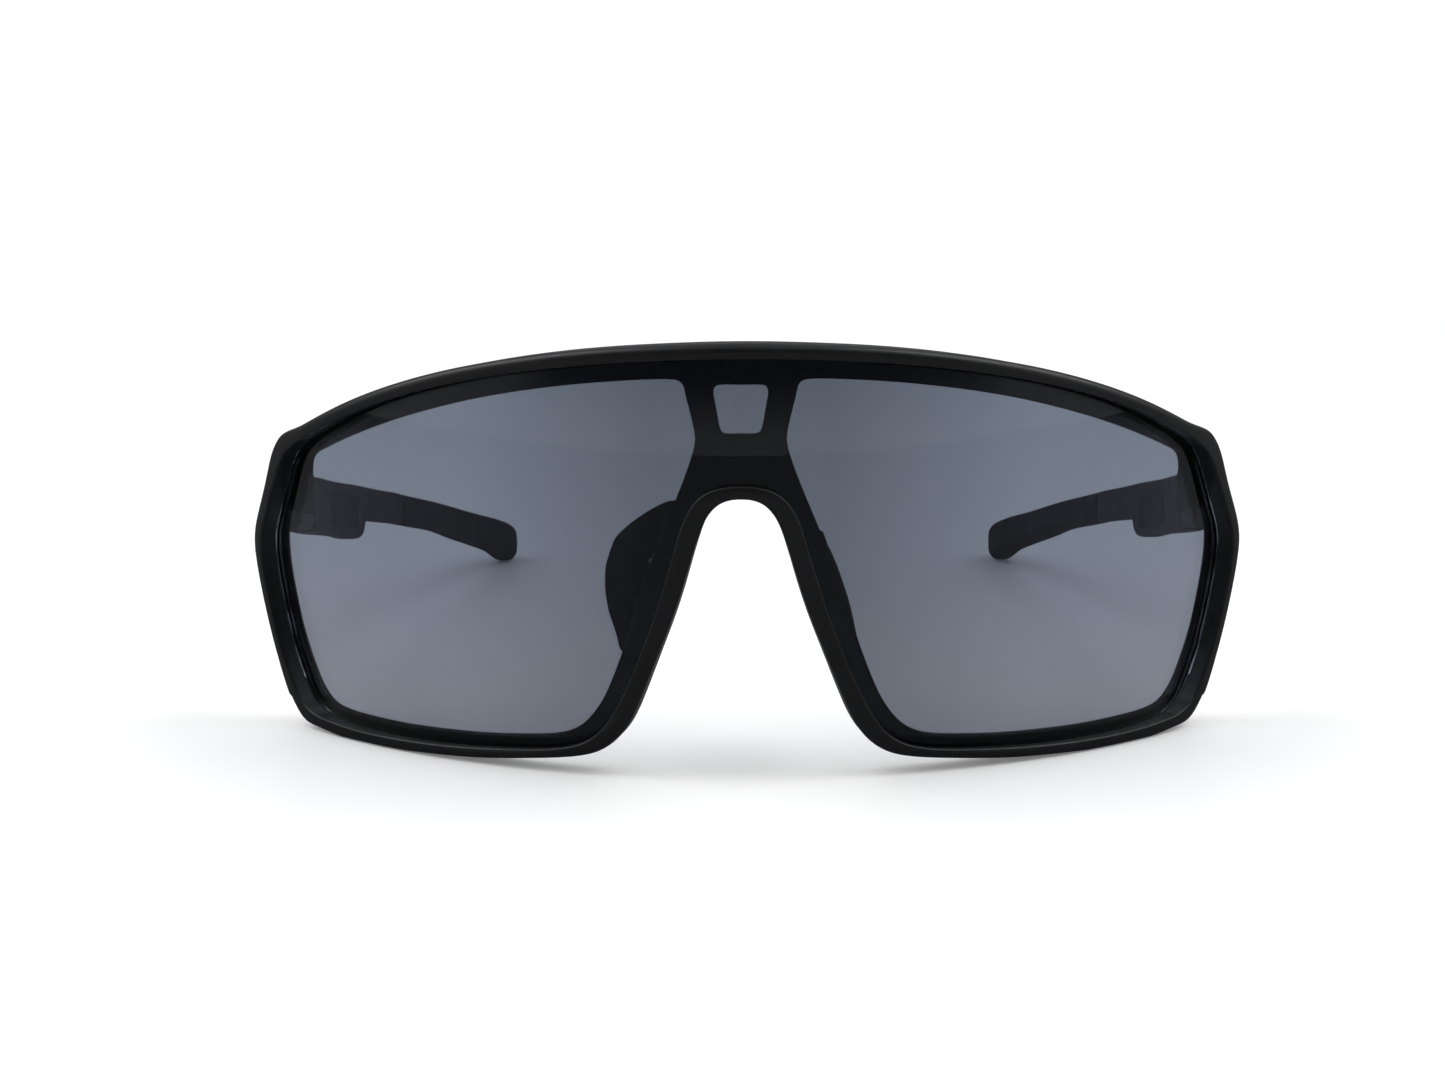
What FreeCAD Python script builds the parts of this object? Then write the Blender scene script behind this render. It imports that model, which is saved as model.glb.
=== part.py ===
import FreeCAD, Part
import Sketcher
import os
import math

# Wraparound sport sunglasses, modelled in millimetres.
# +Z is up: the glasses stand on the lower rim and the temple tips. The lens looks along -Y,
# +X is the wearer's left side and X = 0 is the plane of symmetry.
# The pieces are built with Y = 0 at the front vertex of the lens. On publishing they are moved
# by origin_shift and base_lift, so that the origin is on the table under the middle.

V = FreeCAD.Vector
doc = FreeCAD.newDocument("sport_sunglasses")

# ------------------------------------------------------------------ driving sizes
sheet = doc.addObject("Spreadsheet::Sheet", "sizes")
SIZES = [
    ("lens_radius", 88.0, "horizontal radius of the lens front surface"),
    ("lens_upright_radius", 240.0, "vertical radius of the lens front surface"),
    ("lens_mid_height", 28.0, "height of the lens equator above the working zero"),
    ("lens_thickness", 2.0, "thickness of the shield lens"),
    ("lens_seat", 0.6, "how far the lens edge enters the groove of the rim"),
    ("lens_play", 0.03, "play between the lens and its groove"),
    ("rim_axis_y", 92.4, "axis of the rim's front surface"),
    ("rim_radius", 93.4, "horizontal radius of the rim's front surface"),
    ("rim_upright_radius", 245.0, "vertical radius of the rim's front surface"),
    ("frame_back_radius", 84.3, "radius of the frame's back surface"),
    ("saddle_back_radius", 82.4, "radius of the nose saddle's back surface"),
    ("fold_x", 65.6, "hinge pin, distance from the plane of symmetry"),
    ("fold_y", 42.6, "hinge pin, distance behind the lens vertex"),
    ("pin_radius", 0.6, "hinge screw shank"),
    ("pin_bore_radius", 0.64, "bore of the hinge knuckles"),
    ("knuckle_radius", 1.4, "outside of the hinge knuckles"),
    ("knuckle_clearance", 0.2, "room in the temple around the knuckles"),
    ("knuckle_low", 25.9, "bottom of the lower knuckle"),
    ("knuckle_height", 2.0, "height of each frame knuckle"),
    ("knuckle_mid_height", 2.3, "height of the temple knuckle"),
    ("knuckle_gap", 0.05, "axial play between knuckles"),
    ("leaf_thickness", 0.8, "hinge leaf plate"),
    ("frame_leaf_length", 6.6, "frame leaf, forwards from the hinge pin"),
    ("temple_leaf_length", 9.0, "temple leaf, backwards from the hinge pin"),
    ("screw_head_radius", 1.15, "head of the hinge screw"),
    ("screw_head_height", 0.7, "head of the hinge screw"),
    ("leaf_pin_radius", 0.5, "cross pins that hold the leaves"),
    ("leaf_pin_play", 0.02, "play of a cross pin in its hole"),
    ("slot_play", 0.04, "play of a leaf in its slot"),
    ("pad_pin_radius", 0.6, "wire of the nose pad core"),
    ("pad_bore_radius", 0.65, "bore of the saddle's lugs"),
    ("pad_play", 0.05, "play around the core in the rubber"),
    ("core_arm_radius", 0.5, "arm of the nose pad core"),
    ("lug_radius", 1.35, "outside of the saddle's lugs"),
    ("peg_radius", 0.8, "snap pegs of the saddle"),
    ("peg_play", 0.03, "play of a peg in its hole"),
    ("tip_play", 0.05, "play between the rubber tip and the arm's core"),
    ("insert_play", 0.05, "play around the soft insert"),
    ("insert_depth", 1.2, "depth of the insert's recess"),
    ("origin_shift", 77.198, "distance from the lens vertex to the middle of the object"),
    ("base_lift", 1.3, "height of the working zero over the table"),
]
for row, (alias, value, note) in enumerate(SIZES, start=1):
    sheet.set("A%d" % row, alias.replace("_", " "))
    sheet.set("B%d" % row, repr(value))
    sheet.setAlias("B%d" % row, alias)
    sheet.set("C%d" % row, note)
doc.recompute()


def size(alias):
    return float(getattr(sheet, alias))


def sum_of(aliases):
    """Expression that adds up sizes of the sheet."""
    return " + ".join("sizes." + alias for alias in aliases)


AXIS_Y = size("lens_radius")      # the lens surfaces turn about the upright line X = 0, Y = AXIS_Y
MID_Z = size("lens_mid_height")
UPRIGHT_RADIUS = size("lens_upright_radius")
THICKNESS = size("lens_thickness")
LENS_PLAY = size("lens_play")
FRAME_BACK_Y = AXIS_Y - size("frame_back_radius")
BAND_Z = (-6.0, 62.0)             # bottom and top of every arc band
BAND_ANGLE = 116.0
CUTTER_Y = (-8.0, 46.0)           # planes that carry the two outlines of each radial cutter
CUTTER_PIECES = 8                 # spline pieces that each closed outline is divided into

HINGE_X, HINGE_Y = size("fold_x"), size("fold_y")
LEAF = size("leaf_thickness")
SLOT_PLAY = size("slot_play")
FRAME_LEAF_LENGTH = size("frame_leaf_length")
TEMPLE_LEAF_LENGTH = size("temple_leaf_length")
# heights in the stack of knuckles, from below
LOW_Z = size("knuckle_low")
LOW_TOP_Z = LOW_Z + size("knuckle_height")
MID_KNUCKLE_Z = LOW_TOP_Z + size("knuckle_gap")
MID_KNUCKLE_TOP_Z = MID_KNUCKLE_Z + size("knuckle_mid_height")
UPPER_Z = MID_KNUCKLE_TOP_Z + size("knuckle_gap")
STACK_TOP_Z = UPPER_Z + size("knuckle_height")
STACK_HEIGHT = "2 * (sizes.knuckle_height + sizes.knuckle_gap) + sizes.knuckle_mid_height"
# cross pins of the leaves: they run along X and stand at these (y, z)
PIN_X = HINGE_X - 1.0
PIN_LENGTH = 3.2
FRAME_PINS = [(HINGE_Y - 3.4, 31.2), (HINGE_Y - 5.4, 31.2)]
TEMPLE_PIN_Z = (MID_KNUCKLE_Z + MID_KNUCKLE_TOP_Z) / 2.0
TEMPLE_PINS = [(HINGE_Y + 5.0, TEMPLE_PIN_Z), (HINGE_Y + 7.6, TEMPLE_PIN_Z)]

# ------------------------------------------------------------------ outlines
# Points are (arc length along the lens, height). A half outline runs from the top middle
# round the wearer's left side to the bottom middle; the other half is its mirror image.
OUTER = [       # outside of the frame
    (0, 56.35), (10, 56.1), (20, 55.45), (30, 54.25), (40, 52.4), (50, 49.75), (58, 46.95),
    (64, 44.35), (68.5, 42.2), (71.2, 40.6), (72.9, 38.8), (75.1, 34.4), (77.2, 30.0),
    (78.6, 27.2), (79.15, 25.0), (79.1, 22.4), (78.2, 18.2), (76.4, 11.6), (75.0, 7.4),
    (73.75, 4.1), (72.6, 1.95), (70.9, 0.05), (68.2, -0.62), (62.5, -1.3), (55, -1.45),
    (46, -1.08), (37.5, -0.62), (31, 0.0), (26.5, 0.48), (22.8, 1.0), (19.7, 1.88),
    (17.4, 3.35), (15.6, 5.4), (13.8, 8.8), (12.2, 12.6), (10.5, 16.8), (9.0, 20.6),
    (7.7, 24.4), (6.5, 28.4), (5.4, 31.8), (4.3, 34.2), (2.7, 35.8), (1.3, 36.3), (0, 36.4)]
FRONT = [       # front opening, through which the lens shows
    (0, 54.35), (10, 54.15), (20, 53.5), (30, 52.3), (40, 50.45), (50, 47.95), (58, 45.15),
    (64, 42.55), (67.6, 40.9), (69.8, 39.5), (71.3, 37.8), (73.2, 34.0), (75.5, 29.3),
    (76.9, 26.6), (77.35, 24.8), (77.3, 22.4), (76.4, 18.2), (74.7, 12.0), (73.3, 8.0),
    (72.0, 4.95), (70.75, 2.85), (68.9, 1.5), (66.0, 0.9), (60.5, 0.5), (53, 0.4),
    (45, 0.58), (37.5, 0.95), (31.5, 1.4), (27.2, 1.8), (24.1, 2.32), (21.5, 3.2),
    (19.4, 4.7), (17.6, 6.9), (15.8, 10.1), (14.2, 13.6), (12.6, 17.6), (11.2, 21.4),
    (10.0, 25.2), (8.8, 29.2), (7.8, 32.6), (6.6, 35.2), (4.8, 37.1), (2.6, 37.95), (0, 38.2)]
CLEAR = [       # opening behind the lens on the wearer's left, a closed run
    (9.1, 51.5), (12, 51.5), (16, 51.27), (20, 50.95), (25, 50.4), (30, 49.7), (35, 48.84),
    (40, 47.8), (45, 46.6), (50, 45.25), (55, 43.75), (60, 42.1), (65, 40.3), (68, 39.15),
    (69.7, 38.3), (70.45, 37.4), (70.6, 36.2), (70.6, 33.5), (70.6, 31.6), (71.0, 30.8),
    (71.9, 30.4), (73.5, 30.0), (75.0, 29.5), (76.3, 28.3), (77.1, 26.7), (77.4, 24.8),
    (77.3, 22.4), (76.45, 18.2), (74.7, 12.0), (73.25, 8.1), (71.85, 5.05), (70.4, 3.15),
    (68.5, 2.25), (65.3, 1.8), (60, 1.7), (52, 1.75), (44, 2.02), (37, 2.36), (31, 2.85),
    (27, 3.3), (24.4, 4.0), (22.6, 5.0), (20.9, 6.6), (19.3, 8.8), (17.9, 11.6), (16.5, 15.0),
    (15.2, 18.6), (14.0, 22.2), (12.7, 26.0), (11.3, 29.8), (10.0, 33.0), (8.9, 35.6),
    (7.9, 38.0), (7.0, 40.4), (6.35, 42.4), (6.1, 43.9), (6.35, 45.6), (6.95, 48.0),
    (7.45, 49.9), (7.8, 50.95), (8.3, 51.35)]
WINDOW = [      # window in the strut between the two openings
    (0, 50.85), (2.6, 50.85), (3.35, 50.65), (3.65, 50.0), (3.55, 49.0), (3.15, 46.9),
    (2.8, 45.3), (2.5, 44.75), (1.9, 44.55), (0, 44.55)]
SADDLE = [      # nose saddle, a band behind the arch
    (0, 41.2), (3.0, 41.0), (5.6, 39.6), (7.3, 37.2), (8.8, 33.8), (10.3, 29.6), (11.8, 25.0),
    (13.3, 20.4), (14.4, 16.9), (14.6, 16.0), (14.2, 15.3), (13.3, 15.2), (12.6, 15.9),
    (11.4, 18.4), (9.9, 22.4), (8.6, 26.4), (7.4, 30.0), (6.3, 33.4), (4.9, 36.0),
    (2.8, 37.5), (0, 38.0)]


def mirrored(run):
    return [(-along, z) for along, z in run]


def both_sides(half):
    """Close a half outline with its mirror image."""
    return half + mirrored(reversed(half[1:-1]))


def grown(run, amount):
    """Offset a closed run of points; a positive amount moves it outwards."""
    after = run[1:] + run[:1]
    before = run[-1:] + run[:-1]
    area = sum(a[0] * b[1] - b[0] * a[1] for a, b in zip(run, after))
    step = amount if area > 0 else -amount
    moved = []
    for point, last, following in zip(run, before, after):
        along, up = following[0] - last[0], following[1] - last[1]
        length = math.hypot(along, up)
        moved.append((point[0] + step * up / length, point[1] - step * along / length))
    return moved


LENS_EDGE = grown(both_sides(FRONT), size("lens_seat"))


# ------------------------------------------------------------------ building blocks
def closed_spline(points):
    curve = Part.BSplineCurve()
    curve.interpolate(Points=points, PeriodicFlag=True)
    return curve


def radial_cutter(name, run):
    """Solid whose walls all point at the lens axis: ruled strips between two outlines in the
    planes CUTTER_Y. Both outlines share their knots, so equal parameters lie on one radius."""
    reach = AXIS_Y - CUTTER_Y[0]
    outline = closed_spline([V(reach * math.tan(along / AXIS_Y), CUTTER_Y[0], z)
                             for along, z in run])
    knots = outline.getKnots()
    count = len(knots) - 1
    splits = [round(piece * count / CUTTER_PIECES) for piece in range(CUTTER_PIECES + 1)]
    walls, loops = [], ([], [])
    for start, end in zip(splits, splits[1:]):
        pair = []
        for loop, y in zip(loops, CUTTER_Y):
            curve = outline.copy()
            for i, pole in enumerate(outline.getPoles(), start=1):
                curve.setPole(i, V(pole.x * (AXIS_Y - y) / reach, y, pole.z))
            curve.segment(knots[start], knots[end])
            edge = curve.toShape()
            loop.append(edge)
            pair.append(edge)
        walls.append(Part.makeRuledSurface(pair[0], pair[1]))
    caps = [Part.Face(Part.Wire(loop)) for loop in loops]
    shell = Part.makeShell(walls + caps)
    shell.sewShape()
    solid = Part.makeSolid(shell)
    if solid.Volume < 0:
        solid.reverse()
    cutter = doc.addObject("Part::Feature", name)
    cutter.Shape = solid
    return cutter


FLAT = FreeCAD.Rotation()
UPRIGHT = FreeCAD.Rotation(V(1, 1, 1), 120)       # a sketch's X is Y and its Y is Z


def new_sketch(name, base, rotation):
    sketch = doc.addObject("Sketcher::SketchObject", name)
    sketch.Placement = FreeCAD.Placement(base, rotation)
    return sketch


def add_line(sketch, start, end):
    sketch.addGeometry(Part.LineSegment(V(*start, 0), V(*end, 0)), False)


def add_polygon(sketch, points):
    for start, end in zip(points, points[1:] + points[:1]):
        add_line(sketch, start, end)


def add_spline_loop(sketch, there, back):
    """Closed loop of two splines whose ends are joined by straight lines."""
    for run, following in ((there, back), (back, there)):
        curve = Part.BSplineCurve()
        curve.interpolate(Points=[V(*point, 0) for point in run])
        sketch.addGeometry(curve, False)
        add_line(sketch, run[-1], following[0])


def arc_band(name, front, back, axis_y):
    """Solid of revolution about the upright line at axis_y, between two upright arcs.
    front and back are (y at mid height, arc radius)."""
    sketch = new_sketch(name + "_section", V(0, 0, 0), UPRIGHT)
    low_z, high_z = BAND_Z
    ends = []
    for mid_y, radius in (front, back):
        centre_y = mid_y + radius
        low_angle = math.pi - math.asin((low_z - MID_Z) / radius)
        high_angle = math.pi - math.asin((high_z - MID_Z) / radius)
        full = Part.Circle(V(centre_y, MID_Z, 0), V(0, 0, 1), radius)
        sketch.addGeometry(Part.ArcOfCircle(full, high_angle, low_angle), False)
        ends.append(((centre_y + radius * math.cos(high_angle), high_z),
                     (centre_y + radius * math.cos(low_angle), low_z)))
    for front_end, back_end in zip(*ends):
        add_line(sketch, front_end, back_end)
    band = doc.addObject("Part::Revolution", name)
    band.Source = sketch
    band.Axis = V(0, 0, 1)
    band.Base = V(0, axis_y, 0)
    band.Angle = BAND_ANGLE
    band.Symmetric = True
    band.Solid = True
    return band


def lens_offset_band(name, front_y, back_y):
    """Band between two surfaces that are offsets of the lens front, given by y at mid height."""
    return arc_band(name, (front_y, UPRIGHT_RADIUS - front_y), (back_y, UPRIGHT_RADIUS - back_y),
                    AXIS_Y)


def common(name, base, tool):
    result = doc.addObject("Part::Common", name)
    result.Base = base
    result.Tool = tool
    return result


def compound(name, objects):
    group = doc.addObject("Part::Compound", name)
    group.Links = objects
    return group


def cut(name, base, *tools):
    tool = tools[0] if len(tools) == 1 else compound(name + "_tools", list(tools))
    result = doc.addObject("Part::Cut", name)
    result.Base = base
    result.Tool = tool
    return result


def fuse(name, *objects):
    result = doc.addObject("Part::MultiFuse", name)
    result.Shapes = list(objects)
    result.Refine = True
    return result


def flipped(name, source):
    """Mirror image in the plane of symmetry."""
    mirror = doc.addObject("Part::Mirroring", name)
    mirror.Source = source
    mirror.Normal = V(1, 0, 0)
    mirror.Base = V(0, 0, 0)
    return mirror


def extrusion(name, sketch, direction, length):
    block = doc.addObject("Part::Extrusion", name)
    block.Base = sketch
    block.Dir = direction
    block.LengthFwd = length
    block.Solid = True
    return block


def plan_prism(name, points, low_z, high_z):
    """Straight-sided block from a plan drawn in X and Y."""
    sketch = new_sketch(name + "_plan", V(0, 0, low_z), FLAT)
    add_polygon(sketch, points)
    return extrusion(name, sketch, V(0, 0, 1), high_z - low_z)


def side_prism(name, points, low_x, high_x):
    """Straight-sided block from an elevation drawn in Y and Z."""
    sketch = new_sketch(name + "_elevation", V(low_x, 0, 0), UPRIGHT)
    add_polygon(sketch, points)
    return extrusion(name, sketch, V(1, 0, 0), high_x - low_x)


def turned_box(name, sides, placement):
    block = doc.addObject("Part::Box", name)
    block.Length, block.Width, block.Height = sides
    block.Placement = placement
    return block


def box(name, low, high):
    sides = [b - a for a, b in zip(low, high)]
    return turned_box(name, sides, FreeCAD.Placement(V(*low), FLAT))


def rod(name, radius_aliases, length, base, axis):
    """Cylinder whose radius is bound to the sum of the named sizes."""
    cylinder = doc.addObject("Part::Cylinder", name)
    cylinder.Height = length
    cylinder.setExpression("Radius", sum_of(radius_aliases))
    cylinder.Placement = FreeCAD.Placement(base, FreeCAD.Rotation(V(0, 0, 1), axis))
    return cylinder


def leaf_pins(name, places):
    return [rod("%s_%d" % (name, i), ["leaf_pin_radius"], PIN_LENGTH, V(PIN_X, y, z), V(1, 0, 0))
            for i, (y, z) in enumerate(places)]


def leaf_pin_holes(name, places):
    play = size("leaf_pin_play")
    return [rod("%s_%d" % (name, i), ["leaf_pin_radius", "leaf_pin_play"],
                PIN_LENGTH + 2 * play, V(PIN_X - play, y, z), V(1, 0, 0))
            for i, (y, z) in enumerate(places)]


# ------------------------------------------------------------------ shield lens
def shield_lens():
    band = lens_offset_band("lens_band", 0.0, THICKNESS)
    return common("lens_blank", band, radial_cutter("lens_edge", LENS_EDGE))


# ------------------------------------------------------------------ front frame
# endpiece, the block that carries the hinge: plan (x, y) and elevation (y, z)
END_PLAN = [
    (60.75, 29.5), (64.3, HINGE_Y - 1.8), (67.2, HINGE_Y - 1.8), (67.2, HINGE_Y - 0.1),
    (68.95, HINGE_Y - 0.1), (69.3, 37.5), (69.7, 33.5), (69.3, 31.6), (66.5, 30.0), (63.5, 27.8)]
END_SIDE = [
    (26, 37.0), (33, 36.4), (38, 35.1), (HINGE_Y, 33.5), (HINGE_Y, 25.5), (37.5, 27.3),
    (33, 29.0), (30, 29.85), (26, 29.85)]
OPENING_OVERLAP = 0.5             # how far the front and back openings reach into the lens groove
BACK_OPENING_Y = 7.5              # far side of the openings behind the lens
ROOM_TOP_Z = 29.9                 # top of the room cut for the lower knuckle
PEGS = [(7.9, 34.6), (11.9, 21.6)]          # snap pegs of the saddle, (x, z) on the left
PEG_Y, PEG_LENGTH = 3.2, 2.2
PEG_HOLE_Y, PEG_HOLE_LENGTH = 3.15, 4.0


def peg_rods(name, radius_aliases, start_y, length):
    """Rods along Y at the places of the pegs, on both sides."""
    return [rod("%s_%d_%d" % (name, i, side + 1), radius_aliases, length,
                V(side * x, start_y, z), V(0, 1, 0))
            for side in (1, -1) for i, (x, z) in enumerate(PEGS)]


def frame_body():
    rim_axis = size("rim_axis_y")
    rim_front = arc_band("rim_front_band",
                         (rim_axis - size("rim_radius"), size("rim_upright_radius")),
                         (24.0, 200.0), rim_axis)
    rim_back = lens_offset_band("rim_back_band", -14.0, FRAME_BACK_Y)
    blank = common("frame_blank", common("frame_shell", rim_front, rim_back),
                   radial_cutter("frame_edge", both_sides(OUTER)))
    endpiece = common("endpiece_block", plan_prism("endpiece_plan", END_PLAN, 20, 40),
                      side_prism("endpiece_side", END_SIDE, 55, 75))
    return fuse("frame_body", blank, endpiece, flipped("endpiece_block_mirror", endpiece))


def hinge_cut():
    """Room for the lower knuckle, slot for the leaf's plate and holes for its pins."""
    outer_x = HINGE_X + LEAF + SLOT_PLAY
    room = box("knuckle_room", (60.0, 30.0, 20.0), (outer_x, 60.0, ROOM_TOP_Z))
    slot = box("leaf_slot", (HINGE_X - SLOT_PLAY, HINGE_Y - FRAME_LEAF_LENGTH - SLOT_PLAY, 25.0),
               (outer_x, HINGE_Y + 2.0, STACK_TOP_Z + SLOT_PLAY))
    return compound("hinge_cut", [room, slot] + leaf_pin_holes("frame_pin_hole", FRAME_PINS))


def front_frame():
    pocket = common("lens_pocket",
                    lens_offset_band("pocket_band", -LENS_PLAY, THICKNESS + LENS_PLAY),
                    radial_cutter("pocket_edge", grown(LENS_EDGE, LENS_PLAY)))
    ahead = common("front_opening", lens_offset_band("ahead_band", -9.0, OPENING_OVERLAP),
                   radial_cutter("front_edge", both_sides(FRONT)))
    behind = []
    for name, band, edge, run in (
            ("opening_left", "behind_band", "clear_left_edge", CLEAR),
            ("opening_right", "behind_band_2", "clear_right_edge", mirrored(CLEAR)),
            ("strut_window", "behind_band_3", "window_edge", both_sides(WINDOW))):
        solid = lens_offset_band(band, THICKNESS - OPENING_OVERLAP, BACK_OPENING_Y)
        behind.append(common(name, solid, radial_cutter(edge, run)))
    below = box("table_plane", (-90, -20, -8), (90, 60, -size("base_lift")))
    hinge_left = hinge_cut()
    hinge_right = flipped("hinge_cut_mirror", hinge_left)
    peg_holes = peg_rods("peg_hole", ["peg_radius", "peg_play"], PEG_HOLE_Y, PEG_HOLE_LENGTH)

    grooved = cut("frame_cut_lens", frame_body(), pocket)
    opened = cut("frame_cut_front", grooved, ahead)
    cleared = cut("frame_cut_back", opened, *behind)
    return cut("frame_finished", cleared, below, hinge_left, hinge_right, *peg_holes)


# ------------------------------------------------------------------ nose saddle
LEG = V(0.325, 0.0, -0.9457)      # down along the saddle's leg, wearer's left
LEG.normalize()
WIRE_MID = V(10.85, 8.1, 26.2)    # middle of the pad core's wire, wearer's left
SADDLE_GAP = 0.04                 # between the frame's back and the saddle
LUG_STARTS = (-4.6, 2.4)          # distance along the leg from the wire's middle
LUG_LENGTH = 2.2
WEB_WIDTH, WEB_REACH = 1.8, 3.1   # web from each lug forwards to the saddle


def leg_point(distance):
    return WIRE_MID + LEG * distance


def lug_web(name, start):
    # the half turn points the box's own Y forwards
    turn = FreeCAD.Rotation(V(0, 0, 1), LEG).multiply(FreeCAD.Rotation(V(0, 0, 1), 180))
    corner = leg_point(start) - turn.multVec(V(WEB_WIDTH / 2, 0, 0))
    return turned_box(name, (WEB_WIDTH, WEB_REACH, LUG_LENGTH), FreeCAD.Placement(corner, turn))


def nose_saddle():
    band = lens_offset_band("saddle_band", FRAME_BACK_Y + SADDLE_GAP,
                            AXIS_Y - size("saddle_back_radius"))
    blank = common("saddle_blank", band, radial_cutter("saddle_edge", both_sides(SADDLE)))
    parts = []
    for i, start in enumerate(LUG_STARTS):
        parts.append(rod("lug_%d" % i, ["lug_radius"], LUG_LENGTH, leg_point(start), LEG))
        parts.append(lug_web("lug_web_%d" % i, start))
    lugs = fuse("lug_group", *parts)
    body = fuse("saddle_body", blank, lugs, flipped("lug_group_mirror", lugs),
                *peg_rods("peg", ["peg_radius"], PEG_Y, PEG_LENGTH))
    bore = rod("wire_bore", ["pad_bore_radius"], 14.0, leg_point(-7.0), LEG)
    return cut("saddle_finished", body, bore, flipped("wire_bore_mirror", bore))


# ------------------------------------------------------------------ nose pads and their cores
# Both pads are built on the wearer's left. The right one is mirrored and turned about its wire.
PAD_TURN = {"left": 0.0, "right": 39.0}     # degrees
PAD_BACK = V(0, 1, 0)                       # backwards along the pad
PAD_OUT = PAD_BACK.cross(-LEG)              # thickness direction, away from the nose
PAD_ROTATION = FreeCAD.Rotation(PAD_OUT, PAD_BACK, -LEG, "XYZ")
WIRE_LENGTH = 9.0
CORE_ARM_LENGTH, CAVITY_ARM_LENGTH = 5.0, 5.2
PLATE_SIDES = (0.7, 2.8, 5.2)               # thickness, depth backwards, height along the leg
PLATE_START = 4.2                           # from the wire back to the plate
PAD_START = 1.0                             # from the wire back to the zero of PAD_ROWS
OVAL_POWER = 0.8                            # below 1 squares the oval sections
OVAL_POINTS = 16
# height up the leg, half depth, half thickness, shift backwards, shift outwards
PAD_ROWS = [
    (-12.9, 0.4, 0.5, 0.4, 0.05), (-11.2, 1.15, 0.85, 1.45, 0.0),
    (-8.7, 2.65, 1.2, 3.35, 0.0), (-5.8, 3.75, 1.4, 4.65, 0.0),
    (-3.4, 4.3, 1.4, 5.15, 0.0), (-0.3, 4.35, 1.4, 5.25, -0.1),
    (2.3, 3.75, 1.15, 4.65, -0.35), (4.9, 2.75, 0.85, 3.55, -0.65),
    (7.5, 1.5, 0.55, 2.0, -0.85), (8.7, 0.7, 0.4, 1.0, -0.95)]


def oval_part(value):
    return math.copysign(abs(value) ** OVAL_POWER, value)


def pad_blank(side):
    """Rubber wing: a loft of ovals, thickest near the middle, its top shifted inwards."""
    sections = []
    for up, half_depth, half_thickness, back, out in PAD_ROWS:
        centre = leg_point(-up) + PAD_BACK * (back + PAD_START) + PAD_OUT * out
        points = []
        for i in range(OVAL_POINTS):
            angle = 2 * math.pi * i / OVAL_POINTS
            points.append(centre + PAD_BACK * (half_depth * oval_part(math.cos(angle)))
                          + PAD_OUT * (half_thickness * oval_part(math.sin(angle))))
        sections.append(Part.Wire([closed_spline(points).toShape()]))
    blank = doc.addObject("Part::Feature", "pad_blank_" + side)
    blank.Shape = Part.makeLoft(sections, True, False)
    return blank


def arm_and_plate(prefix, side, radius_aliases, arm_length, play):
    """Arm backwards from the wire and the plate inside the rubber, grown by the play."""
    arm = rod("%s_arm_%s" % (prefix, side), radius_aliases, arm_length, WIRE_MID, PAD_BACK)
    thickness, _, height = PLATE_SIDES
    corner = (WIRE_MID + PAD_BACK * (PLATE_START - play) + LEG * (height / 2 + play)
              - PAD_OUT * (thickness / 2 + play))
    plate = turned_box("%s_plate_%s" % (prefix, side), [length + 2 * play for length in PLATE_SIDES],
                       FreeCAD.Placement(corner, PAD_ROTATION))
    return arm, plate


def nose_pad(side):
    cavity = fuse("pad_cavity_" + side,
                  *arm_and_plate("cavity", side, ["core_arm_radius", "pad_play"],
                                 CAVITY_ARM_LENGTH, size("pad_play")))
    pad = cut("pad_cut_" + side, pad_blank(side), cavity)
    return flipped("pad_flip_right", pad) if side == "right" else pad


def pad_core(side):
    wire = rod("core_wire_" + side, ["pad_pin_radius"], WIRE_LENGTH,
               leg_point(-WIRE_LENGTH / 2), LEG)
    core = fuse("core_shape_" + side, wire,
                *arm_and_plate("core", side, ["core_arm_radius"], CORE_ARM_LENGTH, 0.0))
    return flipped("core_flip_right", core) if side == "right" else core


def pad_turn(side):
    """Turn about the wire's own line on that side."""
    sign = 1.0 if side == "left" else -1.0
    axis = V(sign * LEG.x, LEG.y, LEG.z)
    middle = V(sign * WIRE_MID.x, WIRE_MID.y, WIRE_MID.z)
    return FreeCAD.Placement(V(0, 0, 0), FreeCAD.Rotation(axis, sign * PAD_TURN[side]), middle)


# ------------------------------------------------------------------ temples
# Elevations are (y, z): upper edges run backwards and lower edges run forwards.
ARM_END_Y = 111.0
CORE_START_Y, CORE_END_Y = 86.0, 131.0
TIP_START_Y, TIP_END_Y = 92.0, 155.6
TIP_GAP = 0.05                    # between the exposed arm and the front of the tip
CORE_INSET = 0.95                 # core's side walls, in from the arm's
TIP_INSET = -0.12                 # tip's side walls, out from the arm's
ARM_TOP = [
    (HINGE_Y, 33.15), (48, 32.1), (56, 30.2), (68, 27.7), (80, 25.0), (90, 22.8), (101, 20.1),
    (111, 17.6)]
ARM_LOW = [
    (111, 12.5), (101, 14.9), (90, 17.4), (81, 19.3), (74.5, 20.6), (72.2, 20.9), (70.9, 20.5),
    (69.7, 19.2), (68.6, 18.9), (66, 19.2), (58, 21.2), (50, 22.9), (45.5, 24.0), (43.8, 24.6),
    (HINGE_Y, 25.6)]
TIP_TOP = [
    (86, 23.72), (95, 21.6), (101, 20.15), (111, 17.65), (121, 14.85), (133.6, 11.47),
    (144.9, 8.49), (151.2, 6.6), (154.5, 4.82), (155.25, 2.69)]
TIP_LOW = [
    (155.0, 0.6), (153.75, -0.75), (151.5, -1.26), (148.95, -0.55), (144.9, 1.44),
    (133.6, 5.22), (121, 9.0), (111, 12.3), (101, 14.75), (95, 16.2), (86, 18.25)]
CORE_TOP = [(86, 21.9), (101, 18.55), (111, 16.15), (121, 13.35), (131, 10.35)]
CORE_LOW = [(131, 7.6), (121, 10.7), (111, 13.9), (101, 16.45), (86, 20.0)]
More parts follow.
